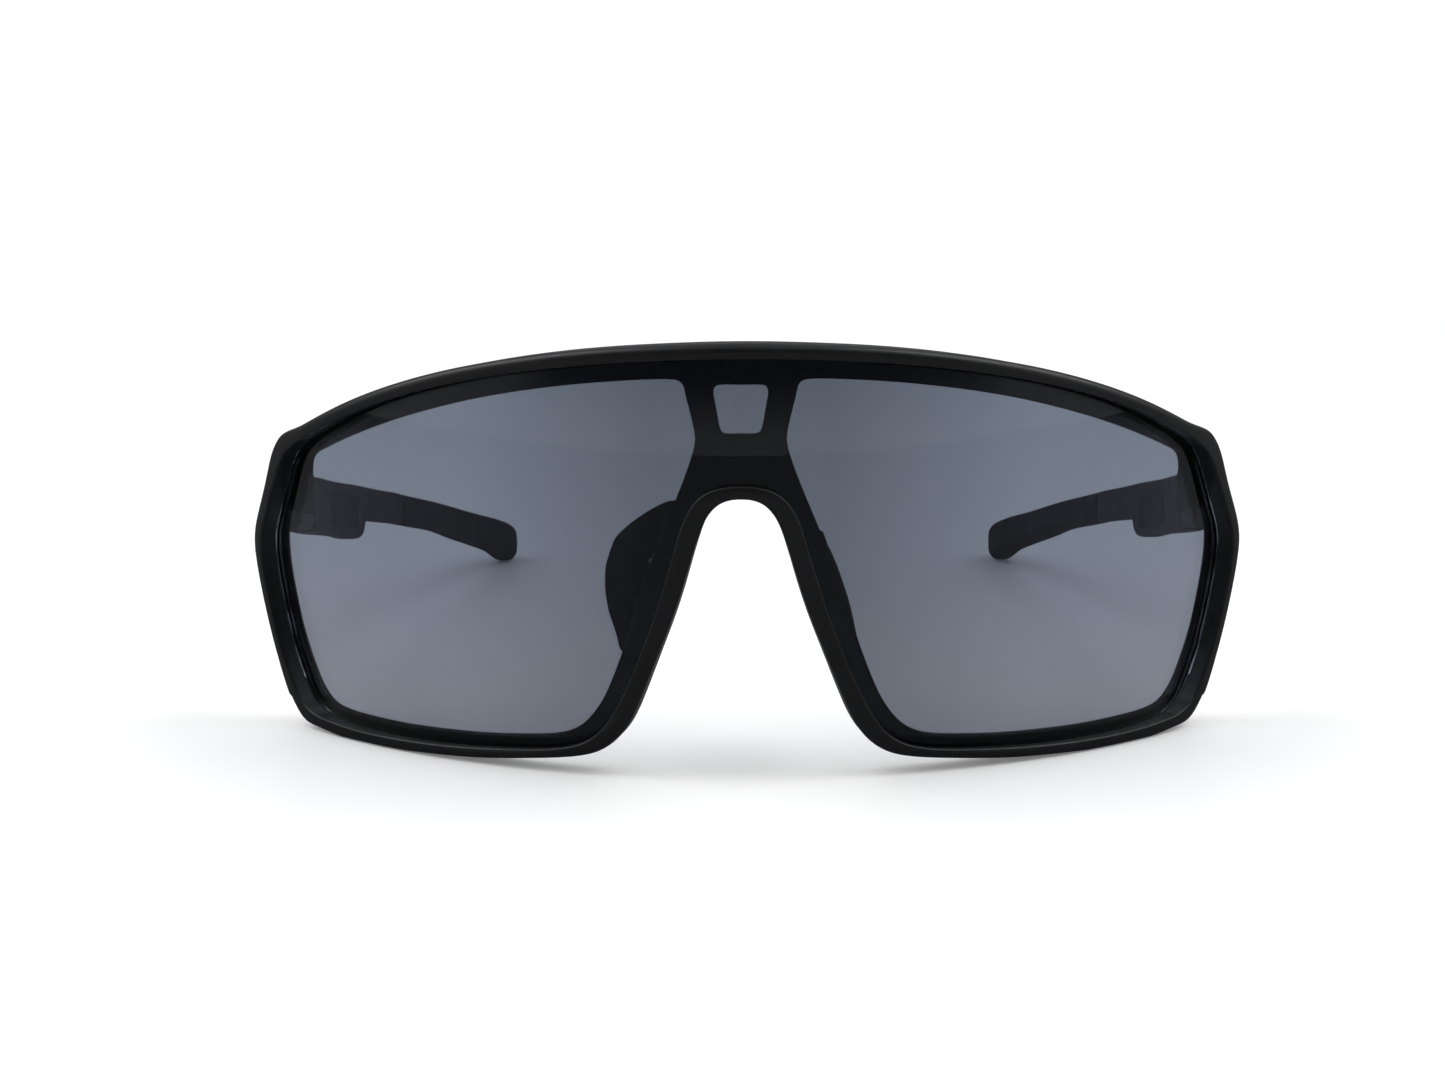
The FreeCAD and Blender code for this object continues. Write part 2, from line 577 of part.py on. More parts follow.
INNER_X = [     # (y, x) of the arm's inner side
    (HINGE_Y, 64.1), (50, 63.9), (60, 63.2), (70, 62.5), (80, 61.6), (90, 60.4), (100, 59.0),
    (110, 57.1), (120, 54.8), (132.3, 52.6), (138.6, 51.36), (144.9, 50.0), (153.7, 48.17),
    (156.3, 47.72)]
ARM_THICKNESS = [     # (y, thickness in X)
    (HINGE_Y, 4.85), (48, 4.6), (56, 4.1), (66, 3.6), (80, 3.2), (90, 3.1), (100, 3.3),
    (110, 3.6), (125, 3.9), (144.9, 4.2), (153.7, 4.3), (156.3, 4.3)]
PLAN_STEPS = 12
# soft insert on the inner side of the arm's belly: elevation (y, z)
INSERT = [
    (52.0, 24.6), (53.2, 28.4), (56.5, 28.3), (62.5, 26.9), (66.6, 25.6), (66.9, 21.6),
    (66.2, 20.7), (60.0, 22.2), (53.0, 23.9)]
INSERT_PLAN_Y = (48.0, 54.0, 60.0, 66.0, 72.0)


def value_at(table, y):
    """Straight interpolation in a table of (y, value)."""
    for (y0, value0), (y1, value1) in zip(table, table[1:]):
        if y <= y1:
            return value0 + (value1 - value0) * (y - y0) / (y1 - y0)


def temple_blank(name, top, low, start_y, end_y, inset):
    """Elevation pushed sideways, cut to the plan."""
    elevation = new_sketch(name + "_elevation", V(40, 0, 0), UPRIGHT)
    add_spline_loop(elevation, top, low)
    side = extrusion(name + "_side", elevation, V(1, 0, 0), 40)
    stations = [start_y + (end_y - start_y) * i / PLAN_STEPS for i in range(PLAN_STEPS + 1)]
    inner = [(value_at(INNER_X, y) + inset, y) for y in stations]
    outer = [(value_at(INNER_X, y) + value_at(ARM_THICKNESS, y) - inset, y) for y in stations]
    plan = new_sketch(name + "_plan", V(0, 0, -5), FLAT)
    add_spline_loop(plan, inner, outer[::-1])
    return common(name, side, extrusion(name + "_top", plan, V(0, 0, 1), 50))


def zone(name, start_y, end_y=200):
    """Everything of a left temple between two stations."""
    return box(name, (30, start_y, -10), (90, end_y, 60))


def insert_block(name, run, inner, outer):
    """Insert's elevation between two offsets in X from the arm's inner side."""
    side = side_prism(name + "_side", run, 50, 80)
    near = [(value_at(INNER_X, y) + inner, y) for y in INSERT_PLAN_Y]
    far = [(value_at(INNER_X, y) + outer, y) for y in INSERT_PLAN_Y]
    return common(name, side, plan_prism(name + "_plan", near + far[::-1], 10, 40))


def temple_arm():
    """Exposed arm and the core that runs on inside the rubber tip."""
    exposed = cut("arm_front",
                  temple_blank("arm_blank", ARM_TOP, ARM_LOW, HINGE_Y, ARM_END_Y, 0.0),
                  zone("tip_zone", TIP_START_Y))
    core = common("core_rear",
                  temple_blank("core_blank", CORE_TOP, CORE_LOW, CORE_START_Y, CORE_END_Y,
                               CORE_INSET),
                  zone("core_zone", TIP_START_Y - 3.0, CORE_END_Y))
    solid = fuse("arm_solid", exposed, core)
    knuckle_clear = rod("knuckle_clear", ["knuckle_radius", "knuckle_clearance"], 20.0,
                        V(HINGE_X, HINGE_Y, 20.0), V(0, 0, 1))
    slot_margin = SLOT_PLAY + 0.4
    leaf_clear = box("temple_leaf_slot",
                     (HINGE_X - SLOT_PLAY, HINGE_Y - 1.0, MID_KNUCKLE_Z - slot_margin),
                     (HINGE_X + LEAF + SLOT_PLAY, HINGE_Y + TEMPLE_LEAF_LENGTH + SLOT_PLAY,
                      MID_KNUCKLE_TOP_Z + slot_margin))
    recess = insert_block("insert_recess", grown(INSERT, size("insert_play")), -2.0,
                          size("insert_depth"))
    return cut("arm_cut", solid, knuckle_clear, leaf_clear, recess,
               *leaf_pin_holes("temple_pin_hole", TEMPLE_PINS))


def temple_insert():
    return insert_block("insert_blank", INSERT, -0.25, size("insert_depth") - size("insert_play"))


def temple_tip():
    """Rubber sleeve over the arm's core."""
    play = size("tip_play")
    blank = common("tip_blank",
                   temple_blank("tip_shape", TIP_TOP, TIP_LOW, CORE_START_Y, TIP_END_Y, TIP_INSET),
                   zone("tip_zone_2", TIP_START_Y + TIP_GAP))
    top = [(y, z + play) for y, z in CORE_TOP]
    low = [(y, z - play) for y, z in CORE_LOW]
    cavity = common("tip_cavity",
                    temple_blank("tip_cavity_shape", top, low, CORE_START_Y, CORE_END_Y,
                                 CORE_INSET - play),
                    zone("cavity_zone", TIP_START_Y - 5.0, CORE_END_Y + 0.1))
    return cut("tip_cut", blank, cavity)


# ------------------------------------------------------------------ hinge leaves and screw
# PartDesign bodies drawn about the hinge pin, which is each body's Z axis.
SCREW_HEAD_Z = LOW_Z - size("screw_head_height") - 0.02
SHANK_ROOT = 0.3                  # start of the shank below the lower knuckle, inside the head


def body_sketch(body, name, plane, offset):
    sketch = body.newObject("Sketcher::SketchObject", name)
    support = next(f for f in body.Origin.OriginFeatures if f.Role == plane)
    sketch.AttachmentSupport = (support, [""])
    sketch.MapMode = "FlatFace"
    sketch.AttachmentOffset = FreeCAD.Placement(V(0, 0, offset), FLAT)
    return sketch


def add_circle(sketch, x, y, radius_aliases):
    """Circle whose radius is bound to the sum of the named sizes."""
    radius = sum(size(alias) for alias in radius_aliases)
    index = sketch.addGeometry(Part.Circle(V(x, y, 0), V(0, 0, 1), radius), False)
    constraint = sketch.addConstraint(Sketcher.Constraint("Radius", index, radius))
    sketch.setExpression("Constraints[%d]" % constraint, sum_of(radius_aliases))


def add_pad(body, sketch, name, length_expression):
    pad = body.newObject("PartDesign::Pad", name)
    pad.Profile = sketch
    pad.setExpression("Length", length_expression)
    doc.recompute()


def add_pocket(body, sketch, name, depth, along_normal=False):
    """Pocket against the sketch's normal, or along it."""
    before = body.Shape.Volume
    pocket = body.newObject("PartDesign::Pocket", name)
    pocket.Profile = sketch
    pocket.Length = depth
    pocket.Reversed = along_normal
    doc.recompute()
    if pocket.Shape.Volume >= before - 1e-6:
        raise RuntimeError(name + " cuts nothing")


def hinge_leaf(name, plate_y, plate_z, plate_height, knuckles, pins, notched):
    """plate_y: both ends of the plate; knuckles: (bottom, alias of the height);
    pins: (y, z) of the cross pins in the frame of the glasses."""
    body = doc.addObject("PartDesign::Body", name)
    plate = body_sketch(body, name + "_plate", "XY_Plane", plate_z)
    start, end = plate_y
    add_polygon(plate, [(0, start), (LEAF, start), (LEAF, end), (0, end)])
    add_pad(body, plate, name + "_plate_pad", plate_height)
    for i, (bottom, height) in enumerate(knuckles):
        knuckle = body_sketch(body, "%s_knuckle_%d" % (name, i), "XY_Plane", bottom)
        add_circle(knuckle, 0, 0, ["knuckle_radius"])
        add_pad(body, knuckle, "%s_knuckle_pad_%d" % (name, i), "sizes." + height)
    if notched:
        # room between the two knuckles for the knuckle of the other leaf
        notch = body_sketch(body, name + "_notch", "XY_Plane", UPPER_Z)
        add_polygon(notch, [(-3, -1.75), (3, -1.75), (3, 4.0), (-3, 4.0)])
        add_pocket(body, notch, name + "_notch_cut", UPPER_Z - LOW_TOP_Z)
    bore = body_sketch(body, name + "_bore", "XY_Plane", 40.0)
    add_circle(bore, 0, 0, ["pin_bore_radius"])
    add_pocket(body, bore, name + "_bore_cut", 30.0)
    holes = body_sketch(body, name + "_pin_holes", "YZ_Plane", -3.0)
    for y, z in pins:
        add_circle(holes, y - HINGE_Y, z, ["leaf_pin_radius", "leaf_pin_play"])
    add_pocket(body, holes, name + "_pin_holes_cut", 8.0, along_normal=True)
    return body


def frame_leaf():
    return hinge_leaf("frame_leaf_body", (-FRAME_LEAF_LENGTH, 0.0), LOW_Z, STACK_HEIGHT,
                      [(LOW_Z, "knuckle_height"), (UPPER_Z, "knuckle_height")],
                      FRAME_PINS, notched=True)


def temple_leaf():
    return hinge_leaf("temple_leaf_body", (0.0, TEMPLE_LEAF_LENGTH), MID_KNUCKLE_Z,
                      "sizes.knuckle_mid_height", [(MID_KNUCKLE_Z, "knuckle_mid_height")],
                      TEMPLE_PINS, notched=False)


def hinge_screw():
    name = "hinge_screw_body"
    body = doc.addObject("PartDesign::Body", name)
    head = body_sketch(body, name + "_head", "XY_Plane", SCREW_HEAD_Z)
    add_circle(head, 0, 0, ["screw_head_radius"])
    add_pad(body, head, name + "_head_pad", "sizes.screw_head_height")
    shank = body_sketch(body, name + "_shank", "XY_Plane", LOW_Z - SHANK_ROOT)
    add_circle(shank, 0, 0, ["pin_radius"])
    add_pad(body, shank, name + "_shank_pad", "%s + %s" % (STACK_HEIGHT, SHANK_ROOT))
    # driver slot across the underside of the head
    slot = body_sketch(body, name + "_slot", "XY_Plane", SCREW_HEAD_Z)
    add_polygon(slot, [(-1.3, -0.16), (1.3, -0.16), (1.3, 0.16), (-1.3, 0.16)])
    add_pocket(body, slot, name + "_slot_cut", 0.35, along_normal=True)
    return body


# ------------------------------------------------------------------ name, place and write
IN_FRAME = FreeCAD.Placement(V(0, -size("origin_shift"), size("base_lift")), FLAT)
AT_HINGE = IN_FRAME.multiply(FreeCAD.Placement(V(HINGE_X, HINGE_Y, 0), FLAT))
pieces = []


def publish(label, objects, placement=IN_FRAME):
    """One piece of the assembly, under its own label, placed in the part's frame."""
    piece = compound("piece_" + label, objects)
    piece.Label = label
    piece.Placement = placement
    pieces.append(piece)
    return piece


def publish_both(name, objects, placement=IN_FRAME):
    """A piece on the wearer's left and its mirror image on the right."""
    left = publish(name + "_left", objects, placement)
    right = flipped("piece_%s_right" % name, left)
    right.Label = name + "_right"
    pieces.append(right)


publish("front_frame", [front_frame()])
publish("shield_lens", [shield_lens()])
publish("nose_saddle", [nose_saddle()])
for side in ("left", "right"):
    turned = IN_FRAME.multiply(pad_turn(side))
    publish("nose_pad_" + side, [nose_pad(side)], turned)
    publish("nose_pad_core_" + side, [pad_core(side)], turned)
publish_both("temple_arm", [temple_arm()])
publish_both("temple_tip", [temple_tip()])
publish_both("temple_insert", [temple_insert()])
publish_both("frame_hinge_leaf", [frame_leaf()], AT_HINGE)
publish_both("temple_hinge_leaf", [temple_leaf()], AT_HINGE)
publish_both("hinge_screw", [hinge_screw()], AT_HINGE)
publish_both("temple_leaf_pins", leaf_pins("temple_pin", TEMPLE_PINS))
left_pins = leaf_pins("frame_pin", FRAME_PINS)
publish("frame_leaf_pins", left_pins + [flipped(pin.Name + "_mirror", pin) for pin in left_pins])
doc.recompute()

problems = ["%s is %s" % (obj.Name, obj.State) for obj in doc.Objects
            if "Invalid" in obj.State or "Error" in obj.State]
for piece in pieces:
    shape = piece.Shape
    if shape.isNull() or not shape.isValid() or not shape.Solids:
        problems.append("%s has a bad shape" % piece.Label)
if problems:
    raise RuntimeError("; ".join(problems))

os.makedirs("parts", exist_ok=True)
for piece in pieces:
    piece.Shape.exportStep("parts/%s.step" % piece.Label)
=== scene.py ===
import math
import bpy
import bmesh
import numpy as np
from mathutils import Vector, Matrix
from mathutils.geometry import delaunay_2d_cdt


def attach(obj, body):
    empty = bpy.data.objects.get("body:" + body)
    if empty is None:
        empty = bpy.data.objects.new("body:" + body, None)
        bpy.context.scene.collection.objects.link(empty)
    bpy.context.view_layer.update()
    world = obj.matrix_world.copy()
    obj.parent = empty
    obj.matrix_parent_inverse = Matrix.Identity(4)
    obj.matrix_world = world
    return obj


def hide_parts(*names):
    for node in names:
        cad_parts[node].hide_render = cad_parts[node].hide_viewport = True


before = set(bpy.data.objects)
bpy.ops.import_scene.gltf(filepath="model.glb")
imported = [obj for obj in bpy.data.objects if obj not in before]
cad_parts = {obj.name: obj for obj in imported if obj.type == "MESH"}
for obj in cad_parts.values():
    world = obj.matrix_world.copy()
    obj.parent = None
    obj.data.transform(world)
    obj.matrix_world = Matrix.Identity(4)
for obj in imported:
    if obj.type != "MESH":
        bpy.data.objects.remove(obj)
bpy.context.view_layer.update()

# ---------------------------------------------------------------- shared geometry (mm)
SH = 77.198
UP = 1.3           # the working zero lies this far over the table
AX = 88.0          # the lens surfaces turn about the vertical line x = 0, y = AX
ZC = 28.0
HX, HY = 65.6, 42.6
scene = bpy.context.scene
COL = scene.collection

OUTER = [(0, 56.35), (10, 56.1), (20, 55.45), (30, 54.25), (40, 52.4), (50, 49.75), (58, 46.95), (64, 44.35),
         (68.7, 42.25), (71.7, 40.75), (73.4, 38.8), (75.3, 34.5), (77.35, 30.1), (78.8, 27.25), (79.35, 25.0),
         (79.15, 22.4), (78.25, 18.2), (76.4, 11.6), (75.0, 7.4), (73.75, 4.1), (72.6, 1.95), (70.9, 0.05),
         (68.2, -0.62), (62.5, -1.3), (55, -1.45), (46, -1.08), (37.5, -0.62), (31, 0.0), (26.5, 0.48), (22.8, 1.0),
         (19.7, 1.88), (17.4, 3.35), (15.6, 5.4), (13.8, 8.8), (12.2, 12.6), (10.5, 16.8), (9.0, 20.6),
         (7.7, 24.4), (6.5, 28.4), (5.4, 31.8), (4.3, 34.2), (2.7, 35.8), (1.3, 36.3), (0, 36.4)]
FRONT = [(0, 54.35), (10, 54.15), (20, 53.5), (30, 52.3), (40, 50.45), (50, 47.95), (58, 45.15), (64, 42.55),
         (67.6, 40.9), (69.8, 39.5), (71.3, 37.8), (73.2, 34.0), (75.5, 29.3), (76.9, 26.6), (77.35, 24.8),
         (77.3, 22.4), (76.4, 18.2), (74.7, 12.0), (73.3, 8.0), (72.0, 4.95), (70.75, 2.85), (68.9, 1.5),
         (66.0, 0.9), (60.5, 0.5), (53, 0.4), (45, 0.58), (37.5, 0.95), (31.5, 1.4), (27.2, 1.8), (24.1, 2.32),
         (21.5, 3.2), (19.4, 4.7), (17.6, 6.9), (15.8, 10.1), (14.2, 13.6), (12.6, 17.6), (11.2, 21.4),
         (10.0, 25.2), (8.8, 29.2), (7.8, 32.6), (6.6, 35.2), (4.8, 37.1), (2.6, 37.95), (0, 38.2)]
CLEAR = [(9.1, 51.5), (12, 51.5), (16, 51.27), (20, 50.95), (25, 50.4), (30, 49.7), (35, 48.84), (40, 47.8),
         (45, 46.6), (50, 45.25), (55, 43.75), (60, 42.1), (65, 40.3), (68, 39.15), (69.7, 38.3), (70.45, 37.4),
         (70.6, 36.2), (70.6, 33.5), (70.6, 31.6), (71.0, 30.8), (71.9, 30.4), (73.5, 30.0), (75.0, 29.5),
         (76.3, 28.3), (77.1, 26.7), (77.4, 24.8), (77.3, 22.4), (76.45, 18.2), (74.7, 12.0), (73.25, 8.1),
         (71.85, 5.05), (70.4, 3.15), (68.5, 2.25), (65.3, 1.8), (60, 1.7), (52, 1.75), (44, 2.02), (37, 2.36),
         (31, 2.85), (27, 3.3), (24.4, 4.0), (22.6, 5.0), (20.9, 6.6), (19.3, 8.8), (17.9, 11.6), (16.5, 15.0),
         (15.2, 18.6), (14.0, 22.2), (12.7, 26.0), (11.3, 29.8), (10.0, 33.0), (8.9, 35.6), (7.9, 38.0),
         (7.0, 40.4), (6.35, 42.4), (6.1, 43.9), (6.35, 45.6), (6.95, 48.0), (7.45, 49.9), (7.8, 50.95),
         (8.3, 51.35)]
WINDOW = [(0, 50.85), (2.6, 50.85), (3.35, 50.65), (3.65, 50.0), (3.55, 49.0), (3.15, 46.9), (2.8, 45.3),
          (2.5, 44.75), (1.9, 44.55), (0, 44.55)]
SADDLE = [(0, 41.2), (3.0, 41.0), (5.6, 39.6), (7.3, 37.2), (8.8, 33.8), (10.3, 29.6), (11.8, 25.0), (13.3, 20.4),
          (14.4, 16.9), (14.6, 16.0), (14.2, 15.3), (13.3, 15.2), (12.6, 15.9), (11.4, 18.4), (9.9, 22.4),
          (8.6, 26.4), (7.4, 30.0), (6.3, 33.4), (4.9, 36.0), (2.8, 37.5), (0, 38.0)]


def both_sides(half):
    return list(half) + [(-s, z) for s, z in reversed(half[1:-1])]


def mirrored(run):
    return [(-s, z) for s, z in run]


def periodic_spline(pts, by_index=False):
    """Closed cubic spline through the points: returns a function of t in [0, n)."""
    p = np.array(pts, float)
    n = len(p)
    d = np.linalg.norm(np.roll(p, -1, 0) - p, axis=1)
    h = d
    A = np.zeros((n, n))
    R = np.zeros((n, 2))
    for i in range(n):
        hm, hp = h[i - 1], h[i]
        A[i, i - 1] += hm / 6
        A[i, i] += (hm + hp) / 3
        A[i, (i + 1) % n] += hp / 6
        R[i] = (p[(i + 1) % n] - p[i]) / hp - (p[i] - p[i - 1]) / hm
    M = np.linalg.solve(A, R)

    def f(t):
        t = np.asarray(t, float) % n
        i = np.minimum(t.astype(int), n - 1)
        u = (t - i)[:, None]
        j = (i + 1) % n
        hh = h[i][:, None]
        return ((1 - u) * p[i] + u * p[j]
                + ((1 - u) ** 3 - (1 - u)) * hh ** 2 / 6 * M[i] + (u ** 3 - u) * hh ** 2 / 6 * M[j])
    return f, n


def loop(pts, count):
    """Closed outline resampled at equal distances."""
    f, n = periodic_spline(pts)
    t = np.linspace(0, n, 4001)[:-1]
    q = f(t)
    seg = np.linalg.norm(np.roll(q, -1, 0) - q, axis=1)
    acc = np.concatenate([[0], np.cumsum(seg)])
    want = np.linspace(0, acc[-1], count, endpoint=False)
    tt = np.interp(want, acc, np.concatenate([t, [n]]))
    return f(tt), tt


def loop_at(pts, tt):
    f, n = periodic_spline(pts)
    return f(tt)


def normals(lp):
    """Unit normals of a closed loop, pointing out of the enclosed area."""
    d = np.roll(lp, -1, 0) - np.roll(lp, 1, 0)
    nrm = np.stack([d[:, 1], -d[:, 0]], 1)
    nrm /= np.linalg.norm(nrm, axis=1)[:, None]
    area = np.sum(lp[:, 0] * np.roll(lp[:, 1], -1) - np.roll(lp[:, 0], -1) * lp[:, 1])
    return nrm if area > 0 else -nrm


def grow(lp, amount):
    return lp + normals(lp) * np.asarray(amount).reshape(-1, 1)


def r_lens(z, depth):
    """Radius about the lens axis of the surface `depth` behind the lens front."""
    z = np.asarray(z, float)
    rv = 240.0 - depth
    return 88.0 - depth - (rv - np.sqrt(rv * rv - (z - ZC) ** 2))


def r_front(s, z):
    """Radius about the lens axis of the rim's front surface."""
    th = np.asarray(s, float) / AX
    rho = 93.4 - (245.0 - np.sqrt(245.0 ** 2 - (np.asarray(z, float) - ZC) ** 2))
    c = 4.4
    return -c * np.cos(th) + np.sqrt(rho ** 2 - (c * np.sin(th)) ** 2)


def place(s, z, r):
    """Metres in the row's frame."""
    th = np.asarray(s, float) / AX
    return np.stack([r * np.sin(th), AX - r * np.cos(th) - SH, np.asarray(z, float) + UP + 0 * r], -1) / 1000.0


def mm(x, y, z):
    return Vector((x / 1000.0, (y - SH) / 1000.0, (z + UP) / 1000.0))


class Builder:
    """Collects rings and patches into one mesh."""

    def __init__(self):
        self.v, self.f, self.flags = [], [], []

    def add(self, pts):
        base = len(self.v)
        self.v.extend([tuple(map(float, p)) for p in pts])
        return np.arange(base, base + len(pts))

    def strip(self, a, b, flip=False):
        n = len(a)
        for i in range(n):
            j = (i + 1) % n
            q = (int(a[i]), int(a[j]), int(b[j]), int(b[i]))
            self.f.append(q[::-1] if flip else q)

    def tris(self, idx, tri, flip=False):
        for t in tri:
            q = tuple(int(idx[k]) for k in t)
            self.f.append(q[::-1] if flip else q)

    def mesh(self, name, smooth=True, sharp_deg=38.0):
        me = bpy.data.meshes.new(name)
        me.from_pydata(self.v, [], self.f)
        me.validate()
        bm = bmesh.new()
        bm.from_mesh(me)
        bmesh.ops.remove_doubles(bm, verts=bm.verts, dist=2e-7)
        bmesh.ops.dissolve_degenerate(bm, dist=1e-7, edges=bm.edges)
        bmesh.ops.recalc_face_normals(bm, faces=bm.faces)
        bm.to_mesh(me)
        bm.free()
        me.update()
        ob = bpy.data.objects.new(name, me)
        COL.objects.link(ob)
        if smooth:
            shade(ob, sharp_deg)
        return ob


def shade(ob, deg=38.0):
    me = ob.data
    for p in me.polygons:
        p.use_smooth = True
    me.set_sharp_from_angle(angle=math.radians(deg))


def inside(pt, lp):
    x, y = pt[:, 0], pt[:, 1]
    c = np.zeros(len(pt), bool)
    a, b = lp, np.roll(lp, -1, 0)
    for (x1, y1), (x2, y2) in zip(a, b):
        m = ((y1 > y) != (y2 > y))
        if y1 != y2:
            c ^= m & (x < (x2 - x1) * (y - y1) / (y2 - y1) + x1)
    return c


def region(outer, holes, pitch, margin=0.5):
    """Triangulates the region between an outer loop and holes. Returns points, triangles and the
    index ranges of each loop."""
    loops = [outer] + list(holes)
    pts = np.concatenate(loops)
    edges, start, ranges = [], 0, []
    for lp in loops:
        n = len(lp)
        edges += [(start + i, start + (i + 1) % n) for i in range(n)]
        ranges.append(np.arange(start, start + n))
        start += n
    lo, hi = outer.min(0), outer.max(0)
    gx = np.arange(lo[0] + pitch / 2, hi[0], pitch)
    gz = np.arange(lo[1] + pitch / 2, hi[1], pitch * 0.866)
    grid = np.array([(x + (pitch / 2 if k % 2 else 0), z) for k, z in enumerate(gz) for x in gx]).reshape(-1, 2)
    keep = inside(grid, outer)
    for hl in holes:
        keep &= ~inside(grid, hl)
    grid = grid[keep]
    if len(grid):
        d = np.full(len(grid), 1e9)
        for i in range(0, len(pts), 400):
            d = np.minimum(d, np.linalg.norm(grid[:, None, :] - pts[None, i:i + 400, :], axis=2).min(1))
        grid = grid[d > margin]
    allp = np.concatenate([pts, grid]) if len(grid) else pts
    res = delaunay_2d_cdt([Vector((float(a), float(b))) for a, b in allp], edges, [], 0, 1e-7)
    vv, ff, orig = res[0], res[2], res[3]
    back = {}
    for k, o in enumerate(orig):
        if len(o):
            back[k] = o[0]
    tri = np.array([t for t in ff if len(t) == 3])
    V2 = np.array([(p.x, p.y) for p in vv])
    cen = V2[tri].mean(1)
    keep = inside(cen, outer)
    for hl in holes:
        keep &= ~inside(cen, hl)
    tri = tri[keep]
    tri = np.array([[back.get(int(k), -1) for k in t] for t in tri])
    tri = tri[(tri >= 0).all(1)]
    return allp, tri, ranges


# ---------------------------------------------------------------- material helpers

def node_mat(name):
    m = bpy.data.materials.new(name)
    m.use_nodes = True
    nt = m.node_tree
    nt.nodes.clear()
    out = nt.nodes.new("ShaderNodeOutputMaterial")
    return m, nt, out


def N(nt, kind, **kw):
    n = nt.nodes.new(kind)
    for k, v in kw.items():
        if k.startswith("in_"):
            n.inputs[k[3:].replace("_", " ")].default_value = v
        else:
            setattr(n, k, v)
    return n


def ramp(nt, src, stops):
    r = nt.nodes.new("ShaderNodeValToRGB")
    els = r.color_ramp.elements
    while len(els) < len(stops):
        els.new(0.5)
    for e, (pos, c) in zip(els, stops):
        e.position = pos
        e.color = (*c, 1.0) if len(c) == 3 else c
    nt.links.new(src, r.inputs["Fac"])
    return r


def plastic(name, dark, light, rough=(0.34, 0.5), grain=5200.0, bump=0.05, wear=0.25, specular=0.5, coat=0.0):
    """Moulded plastic or rubber: fine spark-eroded grain, slow tone drift, faint polish on edges."""
    m, nt, out = node_mat(name)
    L = nt.links
    tc = N(nt, "ShaderNodeTexCoord")
    slow = N(nt, "ShaderNodeTexNoise")
    slow.inputs["Scale"].default_value = 60.0
    slow.inputs["Detail"].default_value = 4.0
    L.new(tc.outputs["Object"], slow.inputs["Vector"])
    fine = N(nt, "ShaderNodeTexNoise")
    fine.inputs["Scale"].default_value = grain
    fine.inputs["Detail"].default_value = 3.0
    fine.inputs["Roughness"].default_value = 0.6
    L.new(tc.outputs["Object"], fine.inputs["Vector"])
    mid = N(nt, "ShaderNodeTexNoise")
    mid.inputs["Scale"].default_value = grain / 9.0
    mid.inputs["Detail"].default_value = 5.0
    L.new(tc.outputs["Object"], mid.inputs["Vector"])
    col = ramp(nt, slow.outputs["Fac"], [(0.3, dark), (0.72, light)])
    geo = N(nt, "ShaderNodeNewGeometry")
    edge = ramp(nt, geo.outputs["Pointiness"], [(0.51, (0, 0, 0)), (0.60, (1, 1, 1))])
    edged = N(nt, "ShaderNodeMix", data_type="RGBA")
    scl = N(nt, "ShaderNodeMath", operation="MULTIPLY")
    scl.inputs[1].default_value = wear
    L.new(edge.outputs["Color"], scl.inputs[0])
    L.new(scl.outputs[0], edged.inputs["Factor"])
    L.new(col.outputs["Color"], edged.inputs["A"])
    edged.inputs["B"].default_value = (*[min(1.0, c * 2.2 + 0.012) for c in light], 1.0)
    rr = N(nt, "ShaderNodeMapRange")
    L.new(mid.outputs["Fac"], rr.inputs["Value"])
    rr.inputs["From Min"].default_value = 0.3
    rr.inputs["From Max"].default_value = 0.7
    rr.inputs["To Min"].default_value = rough[0]
    rr.inputs["To Max"].default_value = rough[1]
    b1 = N(nt, "ShaderNodeBump")
    b1.inputs["Strength"].default_value = bump * 4
    b1.inputs["Distance"].default_value = 0.00003
    L.new(fine.outputs["Fac"], b1.inputs["Height"])
    b2 = N(nt, "ShaderNodeBump")
    b2.inputs["Strength"].default_value = bump * 2
    b2.inputs["Distance"].default_value = 0.0001
    L.new(mid.outputs["Fac"], b2.inputs["Height"])
    L.new(b1.outputs["Normal"], b2.inputs["Normal"])
    p = N(nt, "ShaderNodeBsdfPrincipled")
    L.new(edged.outputs["Result"], p.inputs["Base Color"])
    L.new(rr.outputs["Result"], p.inputs["Roughness"])
    L.new(b2.outputs["Normal"], p.inputs["Normal"])
    p.inputs["Specular IOR Level"].default_value = specular
    p.inputs["Coat Weight"].default_value = coat
    p.inputs["Coat Roughness"].default_value = 0.25
    L.new(p.outputs[0], out.inputs["Surface"])
    return m


